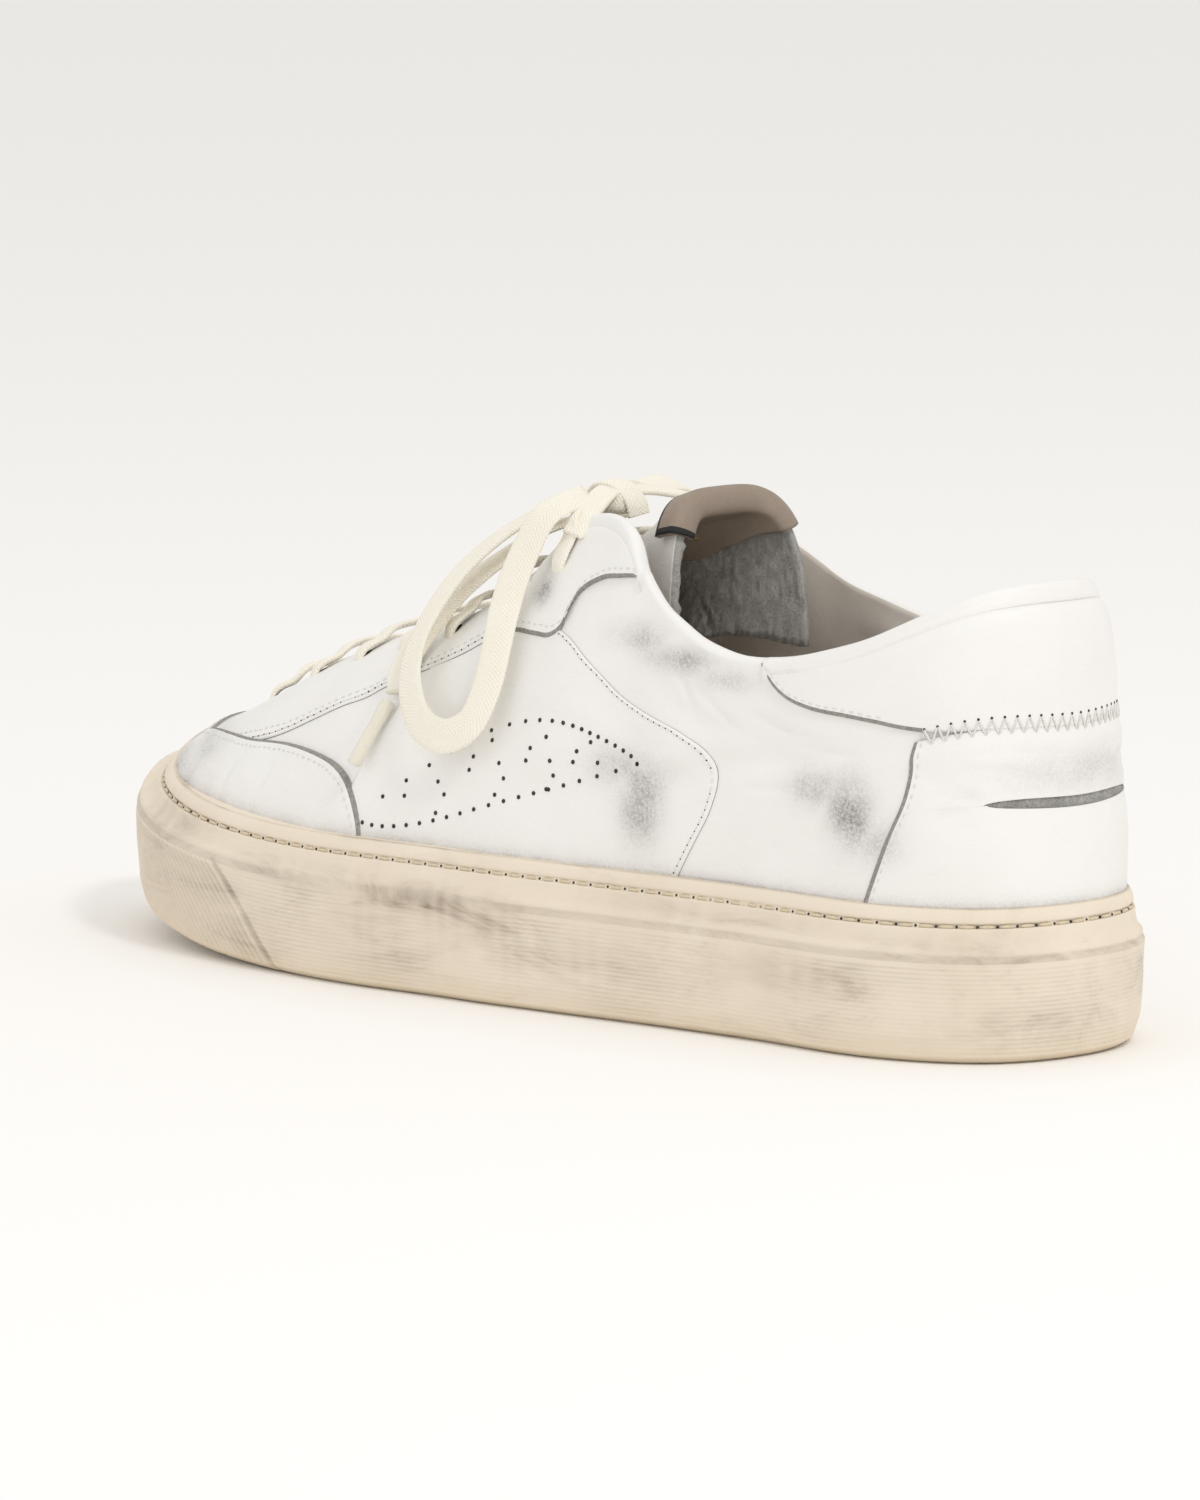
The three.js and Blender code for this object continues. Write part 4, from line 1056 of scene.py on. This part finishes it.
def heel_part(name, level_rows, slit_side):
    """One half of the heel panel, above (+1) or below (-1) the slit."""
    count = 220
    edge_inward = EDGE_INWARD * 1.25 / HEEL_PANEL_ROUND
    edge_heights = np.concatenate([[-EDGE_SINK], EDGE_RISE]) * HEEL_THICKNESS
    u = np.concatenate([edge_inward, np.linspace(0.02, 0.98, count), 1 - edge_inward[::-1]])
    h_u = np.concatenate([edge_heights, np.full(count, HEEL_THICKNESS), edge_heights[::-1]])
    t_grid, v_grid, h_grid = np.zeros((3, len(u), len(level_rows)))
    for j, level in enumerate(level_rows):
        edge_t = np.interp(level, left_edge[:, 1], left_edge[:, 0])
        opening = np.clip(1 - (np.abs(edge_t * (1 - 2 * u)) / SLIT_TIP) ** 3, 0, 1) ** 0.5
        closed = slit_side * SLIT_HALF * (1 - opening)
        near = np.exp(-np.abs(level - SLIT_LEVEL - slit_side * SLIT_HALF) / 0.03)
        v_grid[:, j] = level - closed * near
        t_grid[:, j] = np.interp(v_grid[:, j], left_edge[:, 1], left_edge[:, 0]) * (1 - 2 * u)
        h_grid[:, j] = h_u
        if j == (0 if slit_side > 0 else len(level_rows) - 1):
            h_grid[:, j] -= SLIT_LIP_SINK * opening
    top, bottom = raised(t_grid, v_grid, h_grid), raised(t_grid, v_grid, -HEEL_PANEL_ROOT)
    points, faces, upper_count = closed_grid(top, bottom)
    column = np.arange(upper_count) // (len(level_rows) - 1)
    kinds = np.ones(len(faces), int)
    kinds[:upper_count] = (column < 4) | (column >= len(u) - 5)
    return leather_piece(name, points, faces, kinds)


heel_part("heel_panel_lower", levels_low, -1)
heel_part("heel_panel_upper", levels_up, 1)

# Grey suede behind the slit, a darker copy of the tongue's grey suede: painted shade of the recess.
SUEDE_HALF = 0.024
t_slit, v_slit = np.meshgrid(
    np.linspace(-SLIT_TIP - 0.05, SLIT_TIP + 0.05, 160),
    SLIT_LEVEL + np.linspace(-SUEDE_HALF, SUEDE_HALF, 9), indexing="ij",
)
bow = 0.42 * (1 - ((v_slit - SLIT_LEVEL) / SUEDE_HALF) ** 2)
fuzz = 0.1 * RNG.standard_normal(t_slit.shape)
points, faces, _ = closed_grid(raised(t_slit, v_slit, 0.1 + bow + fuzz), raised(t_slit, v_slit, -0.2))
piece("heel_slit_suede", points, faces, [SHADED_SLIT_SUEDE])


# ---------------------------------------------------------------- stitches, holes and perforations
def frames_along(line, pitch, height):
    """Evenly spaced places on a line of the upper: centre, direction, side and normal."""
    count = max(2, int(run_along(on_upper(line))[-1] / pitch))
    even = resample(line, count * 2 + 1, on_upper)
    t, v = even[1::2].T
    forward = unit(on_upper(even[2::2]) - on_upper(even[:-1:2]))
    normal = upper_normal(t, v)
    return raised(t, v, height), forward, unit(np.cross(normal, forward)), normal


def ring_stack_faces(rings, sides, copies):
    """Faces of many alike solids, each a stack of rings with both ends filled in."""
    quads = [
        [j * sides + k, j * sides + (k + 1) % sides, (j + 1) * sides + (k + 1) % sides, (j + 1) * sides + k]
        for j in range(rings - 1) for k in range(sides)
    ]
    quads += fan_faces(list(range(sides))[::-1])
    quads += fan_faces([(rings - 1) * sides + k for k in range(sides)])
    return (np.array(quads)[None] + (np.arange(copies) * rings * sides)[:, None, None]).reshape(-1, 4)


def capsules(centre, forward, side, normal, length, width, thick):
    """Short rounded stitches, ends sunk in the leather, as one set of points and faces."""
    stops = np.array([-1, -0.8, -0.35, 0.35, 0.8, 1])
    swell = np.array([0.25, 0.8, 1, 1, 0.8, 0.25])
    dips = np.array([-0.9, -0.25, 0.1, 0.1, -0.25, -0.9])
    angle = np.arange(6) / 6 * 2 * np.pi
    local = np.zeros((len(stops), len(angle), 3))
    local[..., 0] = (stops * length / 2)[:, None]
    local[..., 1] = np.cos(angle)[None] * (swell * width / 2)[:, None]
    local[..., 2] = np.sin(angle)[None] * (swell * thick / 2)[:, None] + (dips * thick * 0.6)[:, None]
    local = local.reshape(-1, 3)
    points = (
        centre[:, None]
        + forward[:, None] * local[None, :, :1]
        + side[:, None] * local[None, :, 1:2]
        + normal[:, None] * local[None, :, 2:]
    )
    return points.reshape(-1, 3), ring_stack_faces(len(stops), len(angle), len(centre))


def discs(centre, normal, radius, sides=10):
    """Small dark plugs that read as punched holes: a dished face with a short skirt."""
    reference = np.where(np.abs(normal[:, 2:]) < 0.9, np.array([[0, 0, 1.0]]), np.array([[1.0, 0, 0]]))
    a = unit(np.cross(normal, reference))
    b = np.cross(normal, a)
    angle = np.arange(sides) / sides * 2 * np.pi
    ring = np.cos(angle)[None, :, None] * a[:, None] + np.sin(angle)[None, :, None] * b[:, None]
    # Share of the radius and height over the leather of the skirt's foot, the brim and the dish.
    profile = ((0.9, -0.5), (1.0, 0.05), (0.55, 0.014))
    rings = [centre[:, None] + ring * radius * part + normal[:, None] * up for part, up in profile]
    return np.stack(rings, 1).reshape(-1, 3), ring_stack_faces(len(profile), sides, len(centre))


STITCH_THICKNESS = 0.42
thread, holes = Bag(), Bag()


def sew(line, height, pitch, length, width, hole=0.0):
    """A row of stitches, a little unsteady, with needle holes of radius hole between them."""
    centre, forward, side, normal = frames_along(line, pitch, height)
    centre = centre + side * RNG.normal(0, 0.06, len(centre))[:, None]
    thread.add(*capsules(centre, forward, side, normal, length, width, STITCH_THICKNESS))
    if hole:
        holes.add(*discs(centre + forward * pitch / 2 + normal * 0.07, normal, hole, sides=8))


def sew_panel(name, inward, start, end, pitch, length, width, hole=0.0):
    """A seam a given distance inside a panel's cut edge, over a part of the edge's length."""
    edge, base, panel_width, thickness = PANEL_LINES[name]
    w = np.minimum(inward / panel_width, 0.9)[:, None]
    line = edge * (1 - w) + base * w
    first, last = int(start * (len(line) - 1)), int(end * (len(line) - 1))
    sew(line[first : last + 1], thickness, pitch, length, width, hole)


for side in ("lateral", "medial"):
    sew_panel(f"eyelet_flap_{side}", 2.6, 0.02, 0.985, 2.2, 1.55, 0.45)
    sew_panel(f"front_quarter_{side}", 1.4, 0.1, 0.995, 1.9, 1.2, 0.34, hole=0.17)
for part in ((0.0, 0.5), (0.5, 1.0)):
    sew_panel("lace_stay", 1.5, *part, 2.3, 1.6, 0.45, hole=0.22)
    sew_panel("lace_stay", 3.9, *part, 2.3, 1.6, 0.45)
sew_panel("toe_cap", 2.4, 0.005, 0.995, 2.2, 1.5, 0.45)
for part in ((0.0, 0.235), (0.765, 1.0)):
    sew_panel("collar_band", 1.7, *part, 2.2, 1.5, 0.4)
for side in (1, -1):
    edge = tv_line([(t - 0.08, v) for t, v in HEEL_EDGE_SIDE], 60)
    edge[:, 0] *= side
    sew(edge, HEEL_THICKNESS, 2.2, 1.5, 0.4)

# The zigzag that joins collar band and heel panel, with its needle holes.
ZIGZAGS = 25
zig_t = np.linspace(1.38, -1.38, ZIGZAGS * 2 + 1)
zig_v = np.where(np.arange(len(zig_t)) % 2 == 0, 0.655, 0.6)
zig_at = raised(zig_t, zig_v, COLLAR_THICKNESS + 0.12)
zig_normal = upper_normal(zig_t, zig_v)
run = zig_at[1:] - zig_at[:-1]
forward = unit(run)
normal = unit(zig_normal[1:] + zig_normal[:-1])
zig_length = np.linalg.norm(run, axis=1).mean() * 0.98
thread.add(*capsules(
    (zig_at[1:] + zig_at[:-1]) / 2, forward, unit(np.cross(normal, forward)), normal, zig_length, 0.5, 0.45
))
holes.add(*discs(zig_at[::2] - zig_normal[::2] * 0.05, zig_normal[::2], 0.3, sides=8))

# Ventilation: small holes along a leaf's outline and its vein, the same on both sides.
LEAF_TIPS = np.array([(9.3, 0.25), (4.9, 0.52)])
LEAF_HALF = np.array([-0.3, 0.13])
LEAF_VEIN_LEAN = np.array([-0.22, 0.0])
LEAF_STEPS = 20
spots = []
for k in range(LEAF_STEPS + 1):
    middle = lerp(*LEAF_TIPS, k / LEAF_STEPS)
    bow = math.sin(k / LEAF_STEPS * math.pi) ** 0.75
    spots += [middle + LEAF_HALF * way * bow for way in (1, -1)]
    if 1 < k < LEAF_STEPS - 1 and k % 2:
        spots.append(middle)
    if k in (6, 10, 14):
        for way in (1, -1):
            spots += [middle + (LEAF_HALF * way + LEAF_VEIN_LEAN) * reach for reach in (0.35, 0.68)]
vent_t, vent_v = np.array(spots).T
for t in (vent_t, ROUND - vent_t):
    at = raised(t, vent_v, QUARTER_THICKNESS + 0.07)
    holes.add(*discs(at, upper_normal(t, vent_v), 0.5, sides=12))

# Eyelets punched through the stay and the flap.
for index in range(EYELET_COUNT):
    height = FLAP_THICKNESS if index == EYELET_COUNT - 1 else STAY_THICKNESS
    for side in (-1, 1):
        t, v = np.array([[eyelet_station(index, side)], [EYELET_LEVEL - 0.005]])
        holes.add(*discs(raised(t, v, height + 0.02), upper_normal(t, v), 2.1, sides=20))
thread.piece("upper_stitching", WHITE_THREAD, "upper_leather")
holes.piece("needle_and_vent_holes", HOLE_DARK, "upper_leather")

# ---------------------------------------------------------------- tongue
TONGUE_SECTIONS = [
    # y, centre x, crown height, half width, side drop, how far the outer and the inner side sweep back
    (112, 2, 46, 9, 2, 0, 0), (100, 1.5, 52.8, 14, 6, 0, 0), (78, 1, 63.6, 18, 11, 0, 0),
    (55, 0.5, 71.8, 21, 14, 0, 0), (29, 0, 79.8, 22, 18, 0, 0), (5, -0.5, 91.2, 18.5, 21, 0, 0),
    (-14, -1.5, 102.4, 14.8, 25, 0, 0), (-26, -1.5, 109.8, 15.8, 30, 1, 3), (-36, -1, 113.4, 19, 35, 3, 9),
]
TONGUE_SQUARENESS = 0.8
TONGUE_END_FLATNESS = 0.7
SPINE_STEPS = 801
tongue_spine = catmull_rom([(x, y, crown) for y, x, crown, *_ in TONGUE_SECTIONS], SPINE_STEPS)
TONGUE_ROWS = np.array([row[3:] for row in TONGUE_SECTIONS], float)


def tongue_surface(s, a):
    s, a = np.broadcast_arrays(np.asarray(s, float), np.asarray(a, float))
    at = np.clip(s, 0, 1) * (SPINE_STEPS - 1)
    low = np.minimum(at.astype(int), SPINE_STEPS - 2)
    spine = lerp(tongue_spine[low], tongue_spine[low + 1], (at - low)[..., None])
    place = np.clip(s, 0, 1) * (len(TONGUE_ROWS) - 1)
    k = np.minimum(place.astype(int), len(TONGUE_ROWS) - 2)
    f = (place - k)[..., None]
    shape = lerp(TONGUE_ROWS[k], TONGUE_ROWS[k + 1], f)
    angle = a * np.pi / 2
    flatness = 1 + TONGUE_END_FLATNESS * smooth(0.78, 0.97, s)
    across = np.sign(angle) * np.abs(np.sin(angle)) ** TONGUE_SQUARENESS
    swept = np.sin(angle) ** 2 * np.where(a < 0, shape[..., 2], shape[..., 3])
    return np.stack([
        spine[..., 0] + across * shape[..., 0],
        spine[..., 1] - swept,
        spine[..., 2] - shape[..., 1] * (1 - np.cos(angle)) ** flatness,
    ], -1)


def tongue_normal(s, a, step=0.01):
    along = tongue_surface(np.minimum(1, s + step), a) - tongue_surface(np.maximum(0, s - step), a)
    across = tongue_surface(s, np.minimum(1, a + step)) - tongue_surface(s, np.maximum(-1, a - step))
    return unit(np.cross(along, across))


s_rows, a_rows = np.meshgrid(np.linspace(0, 1, 160), np.linspace(-1, 1, 80), indexing="ij")
tongue_at = tongue_surface(s_rows, a_rows)
tongue_out = tongue_normal(s_rows, a_rows)
nap = 0.22 * RNG.standard_normal(s_rows.shape)
ragged = 0.25 * RNG.standard_normal(s_rows.shape) * ((np.abs(a_rows) > 0.985) | (s_rows > 0.996))
top = tongue_at + tongue_out * (-0.1 + 0.15 * np.sin(s_rows * 40) * np.sin(a_rows * 5))[..., None]
bottom = tongue_at - tongue_out * (TONGUE_THICKNESS - 0.25 + nap)[..., None]
bottom = bottom + ragged[..., None] * np.array([0.2, -1, 0.3])
points, faces, upper_count = closed_grid(top, bottom)
piece(
    "tongue_half_pipe", points, faces, [WHITE_LEATHER, GREY_SUEDE],
    face_material=np.arange(len(faces)) >= upper_count, attributes={"wear_and_shade": np.zeros(len(points))},
    replaces=("tongue",),
)

# The label folds over the tongue's free end.
LABEL_HALF_WIDTH = 0.6
LABEL_TOP_REACH = 0.06
LABEL_FLAP_REACH = 0.3
LABEL_GAP = 0.62
LABEL_THICKNESS = 1.4


def flap_roundness(a):
    """How far down the flap reaches at each place across the label, as a share of its middle."""
    return np.sqrt(1 - 0.9 * (a / LABEL_HALF_WIDTH) ** 2)


def label_layer(gap, count=64):
    a = np.linspace(-LABEL_HALF_WIDTH, LABEL_HALF_WIDTH, count)
    ones = np.ones(count)
    end, normal = tongue_surface(ones, a), tongue_normal(ones, a)
    beyond = unit(end - tongue_surface(ones * 0.97, a))
    rows = []
    for s in np.linspace(1 - LABEL_TOP_REACH, 1, 8):
        rows.append(tongue_surface(ones * s, a) + tongue_normal(ones * s, a) * gap)
    half = TONGUE_THICKNESS / 2 + gap
    for angle in np.linspace(0, np.pi, 13)[1:-1]:
        rows.append(
            end - normal * TONGUE_THICKNESS / 2 + normal * half * math.cos(angle)
            + beyond * (0.25 * half + gap * 0.6) * math.sin(angle)
        )
    for part in np.linspace(0, 1, 26):
        s = 1 - LABEL_FLAP_REACH * part * flap_roundness(a)
        rows.append(tongue_surface(s, a) - tongue_normal(s, a) * (TONGUE_THICKNESS + gap))
    return np.array(rows).transpose(1, 0, 2)


label_top, label_under = label_layer(LABEL_GAP + LABEL_THICKNESS), label_layer(LABEL_GAP)
points, faces, upper_count = closed_grid(label_top, label_under)
column, row = np.divmod(np.arange(upper_count), label_top.shape[1] - 1)
kinds = np.zeros(len(faces), int)
kinds[:upper_count] = (row < 1) | (column < 2)
piece(
    "tongue_label_leather", points, faces, [TAUPE, BLACK_TRIM], face_material=kinds,
    replaces=("tongue_label",),
)
BAR_HALF_HEIGHT = 0.0045
bars = Bag()
for level, reach in ((0.66, 0.28), (0.77, 0.24), (0.88, 0.17)):
    a = np.linspace(-reach, reach, 24)
    s = 1 - LABEL_FLAP_REACH * level * flap_roundness(a)
    rows = (s - BAR_HALF_HEIGHT, s, s + BAR_HALF_HEIGHT)
    under = LABEL_GAP + LABEL_THICKNESS + TONGUE_THICKNESS
    face, back = (
        np.stack([tongue_surface(r, a) - tongue_normal(r, a) * (under + lift) for r in rows], 1)
        for lift in (0.08, -0.1)
    )
    bars.add(*closed_grid(face, back)[:2])
bars.piece("tongue_label_bars", GOLD_FOIL, "label_leather")

# ---------------------------------------------------------------- insole
INSOLE_COLUMNS = 240
insole_t = np.arange(INSOLE_COLUMNS) * ROUND / INSOLE_COLUMNS
insole_y = outline(insole_t)[:, 1]
insole_edge = rim_inset(insole_y) + FOOT_INSET + LEATHER_WALL + 0.8 * frontness(insole_y)
edge_ring = inset_outline(insole_t, insole_edge + 0.55)
middle_line = np.stack([
    np.interp(edge_ring[:, 1], [-130, -40, 20, 100, 130], [-1, -3, -5, 1, 7]),
    np.clip(edge_ring[:, 1], -118, 112),
], -1)
share = np.concatenate([[0, 0.0, 0.01, 0.03, 0.06], np.linspace(0.1, 1, 20)])
drop = np.concatenate([[-3.7, -1.4, -0.5, -0.1, 0.0], np.zeros(20)])
ring = edge_ring[:, None] * (1 - share[None, :, None]) + middle_line[:, None] * share[None, :, None]
heel_dish = 1.3 * np.exp(-((ring[..., 0] / 20) ** 2 + ((ring[..., 1] + 105) / 26) ** 2))
ball_dish = 1.0 * np.exp(-(((ring[..., 0] - 4) / 26) ** 2 + ((ring[..., 1] - 40) / 30) ** 2))
insole_top = with_height(ring, floor_height(ring[..., 1]) + 4.0 + drop - heel_dish - ball_dish)
insole_low = with_height(ring[:, ::-1], floor_height(ring[:, ::-1, 1]) + 0.35)
footbed = np.concatenate([insole_top, insole_low], 1)
foot_wear = np.concatenate([np.clip(heel_dish + ball_dish, 0, 1), np.zeros(insole_low.shape[:2])], 1)
piece(
    "footbed", footbed, grid_faces(*footbed.shape[:2], wrap_u=True, wrap_v=True), [LINING],
    attributes={"wear_and_shade": foot_wear}, replaces=("insole",),
)

# ---------------------------------------------------------------- sole: a detailed skin over the cup's wall
STATION_STEP = 21.7
WALL_PROFILE = np.array([[0, 4.6], [1.6, 2.2], [6, 0.9], [15, 0.2], [23.6, 0]])
BUMPER_EDGE = np.array([  # t at each height of the slanting line between toe bumper and side
    [0, 10.2], [2, 10.26], [5.2, 10.34], [11.8, 10.58], [19.2, 10.9], [23.3, 11.14],
])
DIRT_SPOTS = [
    # t, height, half size in t, half size in height, strength
    (7.5, 22, 1.3, 3.5, 0.75), (6.9, 19, 0.9, 6, 0.5), (5.2, 13, 1.6, 6, 0.35), (9.5, 24, 1.2, 3, 0.45),
    (8.3, 14, 1.0, 8, 0.3), (2.7, 17, 1.2, 4, 0.35), (1.4, 26, 0.9, 3, 0.3), (3.6, 27, 1.4, 2.5, 0.3),
    (12.0, 27, 0.9, 4, 0.35), (0.6, 8, 0.8, 5, 0.3), (20.5, 20, 2, 6, 0.5), (24, 14, 2, 7, 0.4),
    (17, 16, 1.5, 6, 0.4), (28, 18, 1.5, 6, 0.4), (10.6, 10, 0.5, 8, 0.25),
]
TOE_COLUMNS, REAR_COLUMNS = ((470, 350))
sole_t = np.concatenate([
    np.linspace(10, 20, TOE_COLUMNS, endpoint=False),
    np.linspace(20, 10 + ROUND, REAR_COLUMNS, endpoint=False) % ROUND,
])


def wall_inset(height):
    return np.interp(height, WALL_PROFILE[:, 0], WALL_PROFILE[:, 1])


wall_heights = np.linspace(0.25, 22.8, 84)
t_grid = np.broadcast_to(sole_t[:, None], (len(sole_t), len(wall_heights)))
h_grid = np.broadcast_to(wall_heights[None], t_grid.shape)
from_toe = np.abs(t_grid - 15)
line_at = 15 - np.interp(h_grid, BUMPER_EDGE[:, 0], BUMPER_EDGE[:, 1])
past = line_at - from_toe
bumper = smooth(-0.02, 0.02, past)
groove = np.exp(-((past / 0.035) ** 2))
rib = np.cos(h_grid * 2 * np.pi / 1.02)
slant_rib = np.cos((from_toe - line_at) * STATION_STEP * 2 * np.pi / 2.1)
patchy = 0.55 + 0.45 * np.sin(t_grid * 2.3 + 1) * np.sin(t_grid * 0.9 + h_grid * 0.12)
edge_fade = smooth(0.6, 3, h_grid) * (1 - smooth(21.2, 22.4, h_grid))
proud = edge_fade * (0.1 * patchy * rib * (1 - bumper) + 0.3 * slant_rib * bumper)
proud += 0.28 * bumper - 0.4 * groove + 0.12 * np.sin(t_grid * 3.1) * np.sin(h_grid * 0.4 + t_grid)
wall_ring = inset_outline(t_grid, wall_inset(h_grid) - 0.45 - proud)
wall = with_height(wall_ring, h_grid + spring(wall_ring[..., 1]))

# The ledge, then the band above it with the stitched groove, then the thin rim that hugs the leather.
BAND = [
    # share of the way from ledge to rim, how far out, how far up
    (-0.06, 0.55, -0.1), (-0.03, 0.62, 0.25), (0.0, 0.45, 0.5), (0.03, 0.1, 0.55), (0.06, -0.15, 0.5),
    (0.12, -0.25, 0.4), (0.22, -0.28, 0.3), (0.34, -0.22, 0.3), (0.44, -0.1, 0.3), (0.5, 0.05, 0.3),
    (0.535, -0.05, 0.2), (0.56, -0.5, 0.0), (0.6, -0.85, -0.1), (0.64, -0.5, 0.0), (0.665, -0.05, 0.2),
    (0.7, 0.1, 0.3), (0.78, 0.15, 0.35), (0.86, 0.1, 0.35), (0.93, -0.02, 0.3), (0.98, -0.3, 0.2),
    (1.0, -0.75, 0.0),
]
GROOVE_SHARE = 0.6
LEDGE_INSET = 0.9
BAND_FOOT = LEDGE_HEIGHT + 0.2


def band_ring(t, share, out, up):
    """A ring on the slope from ledge (0) to rim (1), moved outward and upward by so much."""
    y = outline(t)[:, 1]
    ring = inset_outline(t, LEDGE_INSET + (rim_inset(y) - LEDGE_INSET) * max(share, 0) - out)
    foot = BAND_FOOT + spring(ring[:, 1])
    return with_height(ring, foot + (rim_height(y) - foot) * share + up)


sole_y = outline(sole_t)[:, 1]
rim_ring = inset_outline(sole_t, rim_inset(sole_y) + 0.9)
more_rows = [band_ring(sole_t, share, out + 0.35, up) for share, out, up in BAND]
more_rows += [with_height(rim_ring, rim_height(sole_y) - down) for down in (0.35, 2.4)]
more_rows += [band_ring(sole_t, share, -0.6, -1.6) for share in (0.9, 0.5, 0.1)]
for h in (21, 15, 8, 3, 0.9):
    ring = inset_outline(sole_t, np.full(len(sole_t), wall_inset(h) + 1.2))
    more_rows.append(with_height(ring, h + spring(ring[:, 1])))
skin = np.concatenate([wall, np.stack(more_rows, 1)], 1)
skin_t = np.broadcast_to(sole_t[:, None], skin.shape[:2])
skin_h = skin[..., 2] - spring(skin[..., 1])
dirt_and_shade = np.zeros(skin.shape[:2])
for t0, h0, wide, tall, strength in DIRT_SPOTS:
    around = np.minimum(np.abs(skin_t - t0), ROUND - np.abs(skin_t - t0))
    dirt_and_shade = np.maximum(dirt_and_shade, strength * np.exp(-((around / wide) ** 2) - ((skin_h - h0) / tall) ** 2))
streak = 0.5 + 0.5 * np.sin(skin_t * 17.3 + 2 * np.sin(skin_t * 5.1))
dirt_and_shade = dirt_and_shade * (0.65 + 0.35 * streak)
band_from = len(wall_heights)
groove_rows = [band_from + k for k, row in enumerate(BAND) if abs(row[0] - GROOVE_SHARE) < 0.05]
ledge_rows = slice(band_from - 2, band_from + 1)
rim_rows = slice(band_from + len(BAND) - 2, band_from + len(BAND) + 2)
# The stitched groove, the ledge, the bumper's groove, the rib troughs and the rim are darkened: painted shade
# in the recesses and at the joint, added to the real dirt spots.
dirt_and_shade[:, groove_rows] = np.maximum(dirt_and_shade[:, groove_rows], 0.55)
dirt_and_shade[:, ledge_rows] = np.maximum(dirt_and_shade[:, ledge_rows], 0.4)
dirt_and_shade[:, :band_from] += 0.5 * groove + 0.12 * (1 - rib) * edge_fade * patchy * (1 - bumper)
dirt_and_shade[:, :band_from] += 0.16 * (1 - slant_rib) * edge_fade * bumper
dirt_and_shade[:, rim_rows] = np.maximum(dirt_and_shade[:, rim_rows], 0.45)
yellow = 0.55 * np.exp(-np.clip(skin_h - 0.5, 0, 40) / 2.2)
piece(
    "sole_sidewall", skin, grid_faces(*skin.shape[:2], wrap_u=True, wrap_v=True), [RUBBER],
    attributes={"dirt_and_shade": np.clip(dirt_and_shade, 0, 1), "yellow": yellow},
)

# The cup itself shows its tread from below.
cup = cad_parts["cup_sole"]
cup.data.materials.clear()
cup.data.materials.append(RUBBER)

# Running thread in the sole's groove, with its needle holes.
SOLE_STITCHES = 145
plan_points = np.stack([np.linspace(0, ROUND, 2000), np.zeros(2000)], -1)
even = resample(plan_points, SOLE_STITCHES * 2 + 1, lambda line: outline(line[:, 0]))
groove_t = even[:, 0]
g_points = band_ring(groove_t, GROOVE_SHARE, -0.15, -0.05)
g_normal = unit(with_height(outline_normal(groove_t), np.full(len(groove_t), 0.25)))
at = np.arange(1, len(groove_t) - 1, 2)
forward = unit(g_points[at + 1] - g_points[at - 1])
side = unit(np.cross(g_normal[at], forward))
sole_thread, sole_holes = Bag(), Bag()
sole_thread.add(*capsules(g_points[at] + g_normal[at] * 0.1, forward, side, g_normal[at], 3.6, 0.85, 0.75))
sole_holes.add(*discs(g_points[at + 1] + g_normal[at + 1] * 0.12, g_normal[at + 1], 0.3, sides=10))
sole_thread.piece("sole_stitching", SOLE_THREAD, "rubber")
sole_holes.piece("sole_needle_holes", HOLE_DARK, "rubber")

# ---------------------------------------------------------------- floor, light
floor_mesh = bpy.data.meshes.new("floor")
floor_mesh.from_pydata([(-6, -6, 0), (6, -6, 0), (6, 6, 0), (-6, 6, 0)], [], [(0, 1, 2, 3)])
floor_mesh.materials.append(Nodes("pale_floor").finish((0.965, 0.957, 0.945), 0.9))
add_object("floor", floor_mesh)

world = bpy.data.worlds.new("studio")
bpy.context.scene.world = world
world.use_nodes = True
world.node_tree.nodes["Background"].inputs["Color"].default_value = (1.0, 0.985, 0.965, 1)
world.node_tree.nodes["Background"].inputs["Strength"].default_value = 0.84

LIGHTS = [
    # name, place in metres, size, watts, colour
    ("key", (-0.3, -1.3, 1.5), 0.3, 7.5, (1.0, 0.985, 0.96)),
    ("side", (-1.5, 0.7, 0.9), 1.2, 1.0, (1.0, 0.99, 0.98)),
    ("top", (0.2, 0.3, 1.8), 1.0, 1.5, (1.0, 0.99, 0.975)),
]
for name, place, size, watts, color in LIGHTS:
    light = bpy.data.lights.new(name, "AREA")
    light.size = size
    light.energy = watts
    light.color = color
    aim(add_object(name, light), place, (0, 0, 0.05))

bpy.context.scene.view_settings.view_transform = "Standard"
